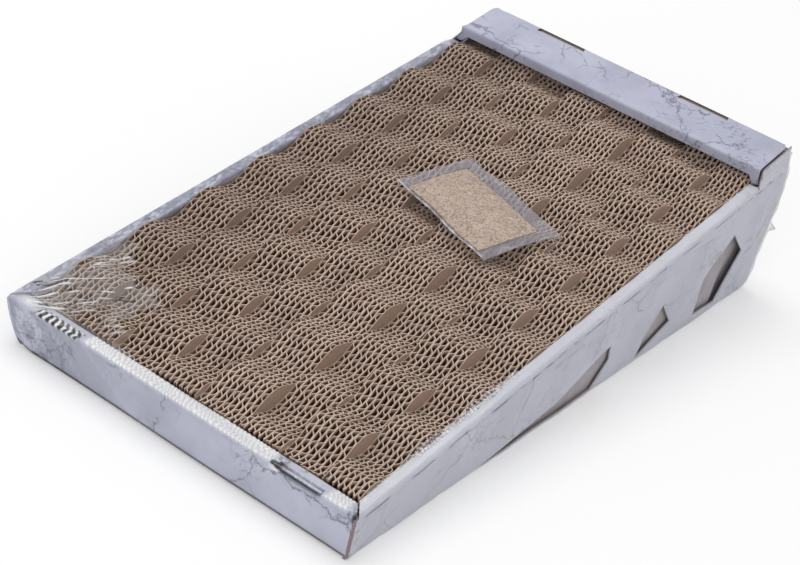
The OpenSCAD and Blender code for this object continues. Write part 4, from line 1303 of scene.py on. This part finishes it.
def make_plain_liner(name, colour):
    """Uncoated liner paper: matt, with a cloudy furnish of fibres a few millimetres long."""
    add = new_material(name)
    place = add("TexCoord").outputs["Object"]
    cloud = add("TexNoise", {"Vector": place, "Scale": 90, "Detail": 5, "Roughness": 0.65})
    dark, light = linear(colour, (0.86, 0.86, 0.87)), linear(colour, (1.1, 1.1, 1.08))
    tone = colour_ramp(add, cloud, (0.3, dark), (0.7, light))
    fibre = add("TexNoise", {"Vector": place, "Scale": 700, "Detail": 2})
    bump = add("Bump", {"Height": fibre, "Strength": 0.12, "Distance": 0.4 * MM})
    paper = {"Base Color": tone, "Roughness": 0.88, "IOR": PAPER_IOR, "Normal": bump}
    add("OutputMaterial", {"Surface": add("BsdfPrincipled", paper)})


def make_cut_edge(name, colour, hollow):
    """Die-cut edge of single-wall board: two light liners, and a light wave of medium over hollows between,
    painted dark as shade. The hollows' painted shade has the given share of the colour's light."""
    add = new_material(name)
    split = add("SeparateXYZ", {"Vector": add("UVMap", uv_map="board")}).outputs
    turn = add("Math", (split["X"], 2 * math.pi / EDGE_FLUTE), operation="MULTIPLY")
    line = add("Math", (add("Math", (turn,), operation="SINE"), 0.32, 0.5), operation="MULTIPLY_ADD")
    apart = [add("Math", (add("Math", (split["Y"], middle), operation="SUBTRACT"),), operation="ABSOLUTE")
             for middle in (line, 0.5)]
    medium, liner = add("MapRange", (apart[0], 0.09, 0.17, 1, 0)), add("MapRange", (apart[1], 0.32, 0.38))
    paper = add("Math", (medium, liner), operation="MAXIMUM")
    shade = add("Mix", {"Factor": paper, "A": linear(colour, hollow), "B": linear(colour)}, data_type="RGBA")
    board = {"Base Color": shade, "Roughness": 0.9, "IOR": PAPER_IOR}
    add("OutputMaterial", {"Surface": add("BsdfPrincipled", board)})


def make_sawn_board(pad):
    """Brown corrugated board sawn on edge: the cut edges are light and fuzzy, the faces a plain mid brown,
    the flutes darken with their depth as painted shade, and the blocks on the left are darker by a painted
    shade."""
    add = new_material("sawn_corrugated_board")
    place = add("TexCoord").outputs
    normal = add("SeparateXYZ", {"Vector": place["Normal"]}).outputs
    up = add("Math", (normal["Z"], math.cos(RIM_SLOPE)), operation="MULTIPLY")
    up = add("Math", (normal["Y"], -math.sin(RIM_SLOPE), up), operation="MULTIPLY_ADD")
    edge = add("MapRange", (up, 0.45, 0.6))
    # Each board's own shade: a value picked by the board's number across the pad
    across = add("SeparateXYZ", {"Vector": place["Object"]}).outputs["X"]
    number = add("Math", (across, 1 / pad.board_pitch), operation="MULTIPLY")
    number = add("Math", (number,), operation="FLOOR")
    shade = add("TexWhiteNoise", {"W": number}, noise_dimensions="1D")
    fibre = add("TexNoise", {"Vector": place["Object"], "Scale": 420, "Detail": 3, "Roughness": 0.7})
    tone = add("Math", (shade.outputs["Value"], 0.4, fibre), operation="MULTIPLY_ADD")
    tone = add("MapRange", (tone, 0.2, 1.2, 0.82, 1.16))
    # Painted shade: the blocks on the left are darker, as the light falls off there
    batch = add("MapRange", (across, -HALF_W, -0.25 * HALF_W, 0.78))
    tone = add("Math", (tone, batch), operation="MULTIPLY")
    cloud = add("TexNoise", {"Vector": place["Object"], "Scale": 60, "Detail": 2})
    dark, light = linear(pad.edge_colour, 0.78), linear(pad.edge_colour)
    edge_tint = add("Mix", {"Factor": cloud, "A": dark, "B": light}, data_type="RGBA")
    # Painted shade: the flutes turn to the deep colour with their depth under the cut edge
    depth = add("Attribute", attribute_name="depth").outputs["Fac"]
    deep = add("MapRange", (depth, 0.5 * MM, 2.9 * MM), interpolation_type="SMOOTHSTEP")
    top, bottom = linear(pad.face_colour), linear(pad.deep_colour)
    face = add("Mix", {"Factor": deep, "A": top, "B": bottom}, data_type="RGBA")
    colour = add("Mix", {"Factor": edge, "A": face, "B": edge_tint}, data_type="RGBA")
    colour = add("VectorMath", {0: colour, "Scale": tone}, operation="SCALE")
    bump = add("Bump", {"Height": fibre, "Strength": 0.25, "Distance": 0.4 * MM})
    board = {"Base Color": colour, "Roughness": 0.92, "IOR": PAPER_IOR, "Normal": bump}
    add("OutputMaterial", {"Surface": add("BsdfPrincipled", board)})


def make_pouch_film(sachet):
    """Frosted clear film: grey-lilac and half see-through, denser where it is sealed, and with painted white
    highlights along its creases."""
    add = new_material("frosted_pouch_film")
    place = add("TexCoord").outputs["Object"]
    crease, seal = (add("Attribute", attribute_name=name).outputs["Fac"] for name in ("crease", "seal"))
    tint, white = linear(sachet.film_colour), linear(sachet.crease_colour)
    # Painted highlights: the film turns white along the creases
    colour = add("Mix", {"Factor": crease, "A": tint, "B": white}, data_type="RGBA")
    alpha = add("Math", (seal, 0.2, 0.11), operation="MULTIPLY_ADD")
    alpha = add("Math", (patches(add, place, 160, 0.35, 0.7), 0.07, alpha), operation="MULTIPLY_ADD")
    alpha = add("Math", (crease, 0.55, alpha), operation="MULTIPLY_ADD", use_clamp=True)
    grain = add("TexNoise", {"Vector": place, "Scale": 500, "Detail": 2})
    bump = add("Bump", {"Height": grain, "Strength": 0.15, "Distance": 0.3 * MM})
    film = {"Base Color": colour, "Roughness": 0.32, "IOR": 1.5, "Alpha": alpha, "Normal": bump}
    add("OutputMaterial", {"Surface": add("BsdfPrincipled", film)})


def make_dried_leaf(sachet):
    """Crushed dried leaf and stalk: straw and olive flakes, each of one shade, with dark gaps between
    them."""
    add = new_material("dried_catnip_leaf")
    place = add("TexCoord").outputs["Object"]
    tone = add("Attribute", attribute_name="tone").outputs["Fac"]
    grain = add("TexNoise", {"Vector": place, "Scale": 900, "Detail": 3, "Roughness": 0.7})
    mixed = add("Math", (tone, 0.7, -0.1), operation="MULTIPLY_ADD")
    mixed = add("Math", (grain, 0.5, mixed), operation="MULTIPLY_ADD")
    shade = colour_ramp(add, mixed, (0.12, linear(sachet.stalk_colour)), (0.62, linear(sachet.leaf_colour)))
    bump = add("Bump", {"Height": grain, "Strength": 0.5, "Distance": 0.6 * MM})
    leaf = {"Base Color": shade, "Roughness": 0.85, "IOR": PAPER_IOR, "Normal": bump}
    add("OutputMaterial", {"Surface": add("BsdfPrincipled", leaf)})


def make_shrink_film(film):
    """Clear glossy shrink film: it shows by its gloss at a slant. Its creases are white where they catch
    the light (crease above 0) and dark where they mirror the dark board (crease below 0)."""
    add = new_material("clear_shrink_film")
    crease = add("Attribute", attribute_name="crease").outputs["Fac"]
    alpha = add("Math", (add("Fresnel", {"IOR": 1.4}), 0.1, film.haze), operation="MULTIPLY_ADD")
    strength = add("Math", (crease,), operation="ABSOLUTE")
    alpha = add("Math", (strength, 0.92, alpha), operation="MULTIPLY_ADD", use_clamp=True)
    light = add("MapRange", (crease, -0.06, 0))
    dark, white = linear(film.dark_colour), linear(film.colour)
    colour = add("Mix", {"Factor": light, "A": dark, "B": white}, data_type="RGBA")
    gloss = {"Base Color": colour, "Roughness": 0.16, "IOR": 1.65, "Alpha": alpha}
    add("OutputMaterial", {"Surface": add("BsdfPrincipled", gloss)})


class SCRATCHER_OT_materials(ScratcherOperator):
    """Makes the finishes: printed board, plain liners, cut edges, the sawn pad, the sachet and the film"""
    bl_idname = "scratcher.materials"
    bl_label = "Finishes"

    def execute(self, context):
        tray = settings("tray")
        make_printed_board(tray)
        make_plain_liner("plain_grey_liner", tray.plain_colour)
        make_plain_liner("raw_kraft_liner", tray.kraft_colour)
        make_cut_edge("cut_board_edge", tray.slot_colour, 0.33)
        make_cut_edge("worn_board_edge", tray.edge_colour, 0.6)
        make_sawn_board(settings("pad"))
        make_pouch_film(settings("sachet"))
        make_dried_leaf(settings("sachet"))
        make_shrink_film(settings("film"))
        return {"FINISHED"}


# Width of the camera's sensor in millimetres
SENSOR_WIDTH = 36
# Studio lamps: name, place, diameter and power, and the point that each one is aimed at
LAMPS = (("top_lamp", (-0.7, 0.5, 2.3), 1.8, 19, (0, 0, 0)),
         ("front_lamp", (0.9, -2.0, 1.1), 1.8, 13, (0, 0, 0.05)))


def aimed(place, target):
    """Matrix of a camera or lamp that stands at place and looks at target."""
    turn = (Vector(target) - Vector(place)).to_track_quat("-Z", "Y")
    return Matrix.Translation(place) @ turn.to_matrix().to_4x4()


def seen_rays(add):
    """1 for the rays by which the camera sees a thing straight, mirrored or through film."""
    rays = add("LightPath").outputs
    seen = add("Math", (rays["Is Camera Ray"], rays["Is Glossy Ray"]), operation="MAXIMUM")
    return add("Math", (seen, rays["Is Transmission Ray"]), operation="MAXIMUM")


class SCRATCHER_OT_stage(ScratcherOperator):
    """Sets the camera, the soft studio light and the plain white floor"""
    bl_idname = "scratcher.stage"
    bl_label = "Camera and Studio"

    def execute(self, context):
        stage, scene = settings("stage"), context.scene
        camera = bpy.data.objects.new("camera", bpy.data.cameras.new("camera"))
        scene.collection.objects.link(camera)
        roll = Matrix.Rotation(stage.camera_roll, 4, "Z")
        camera.matrix_world = aimed(stage.camera_place, stage.camera_target) @ roll
        camera.data.lens = stage.camera_lens
        camera.data.sensor_width = SENSOR_WIDTH
        camera.data.clip_start = 50 * MM
        scene.camera = camera
        scene.view_settings.view_transform = "Standard"
        for name, place, size, power, target in LAMPS:
            lamp = bpy.data.objects.new(name, bpy.data.lights.new(name, "AREA"))
            lamp.data.shape, lamp.data.size, lamp.data.energy = "DISK", size, power
            scene.collection.objects.link(lamp)
            lamp.matrix_world = aimed(place, target)

        scene.world = bpy.data.worlds.new("studio")
        scene.world.use_nodes = True
        scene.world.node_tree.nodes.clear()
        add = partial(add_node, scene.world.node_tree)
        strength = add("MapRange", (seen_rays(add), 0, 1, stage.sky_light, 1))
        add("OutputWorld", {"Surface": add("Background", {"Color": WHITE, "Strength": strength})})

        # White paper, lit up a little for the camera as an overexposed backdrop is
        add = new_material("white_floor")
        paper = add("BsdfDiffuse", {"Color": FLOOR_WHITE})
        level = add("Math", (seen_rays(add), stage.floor_glow), operation="MULTIPLY")
        glow = add("Emission", {"Color": WHITE, "Strength": level})
        add("OutputMaterial", {"Surface": add("AddShader", (paper, glow))})
        half = stage.floor_size / 2
        corners = [[-half, -half, 0], [half, -half, 0], [half, half, 0], [-half, half, 0]]
        mesh = quad_mesh("floor", corners, np.array([[0, 1, 2, 3]]))
        mesh.materials.append(bpy.data.materials["white_floor"])
        floor = bpy.data.objects.new("floor", mesh)
        scene.collection.objects.link(floor)
        return {"FINISHED"}


class SCRATCHER_PT_panel(bpy.types.Panel):
    bl_idname = "SCRATCHER_PT_panel"
    bl_label = "Cat Scratcher"
    bl_space_type = "VIEW_3D"
    bl_region_type = "UI"
    bl_category = "Scratcher"

    def draw(self, context):
        for operator in OPERATORS:
            self.layout.operator(operator.bl_idname)


GROUPS = {"scratcher_tray": ScratcherTray, "scratcher_pad": ScratcherPad, "scratcher_sachet": ScratcherSachet,
          "scratcher_film": ScratcherFilm, "scratcher_stage": ScratcherStage}
OPERATORS = (SCRATCHER_OT_materials, SCRATCHER_OT_tray, SCRATCHER_OT_pad, SCRATCHER_OT_header,
             SCRATCHER_OT_sachet, SCRATCHER_OT_film, SCRATCHER_OT_stage)


def register():
    for cls in (*GROUPS.values(), *OPERATORS, SCRATCHER_PT_panel):
        bpy.utils.register_class(cls)
    for name, group in GROUPS.items():
        setattr(bpy.types.Scene, name, bpy.props.PointerProperty(type=group))


def unregister():
    for name in GROUPS:
        delattr(bpy.types.Scene, name)
    for cls in reversed((*GROUPS.values(), *OPERATORS, SCRATCHER_PT_panel)):
        bpy.utils.unregister_class(cls)


def main():
    register()
    for operator in OPERATORS:
        group, name = operator.bl_idname.split(".")
        getattr(getattr(bpy.ops, group), name)()


if __name__ == "__main__":
    main()
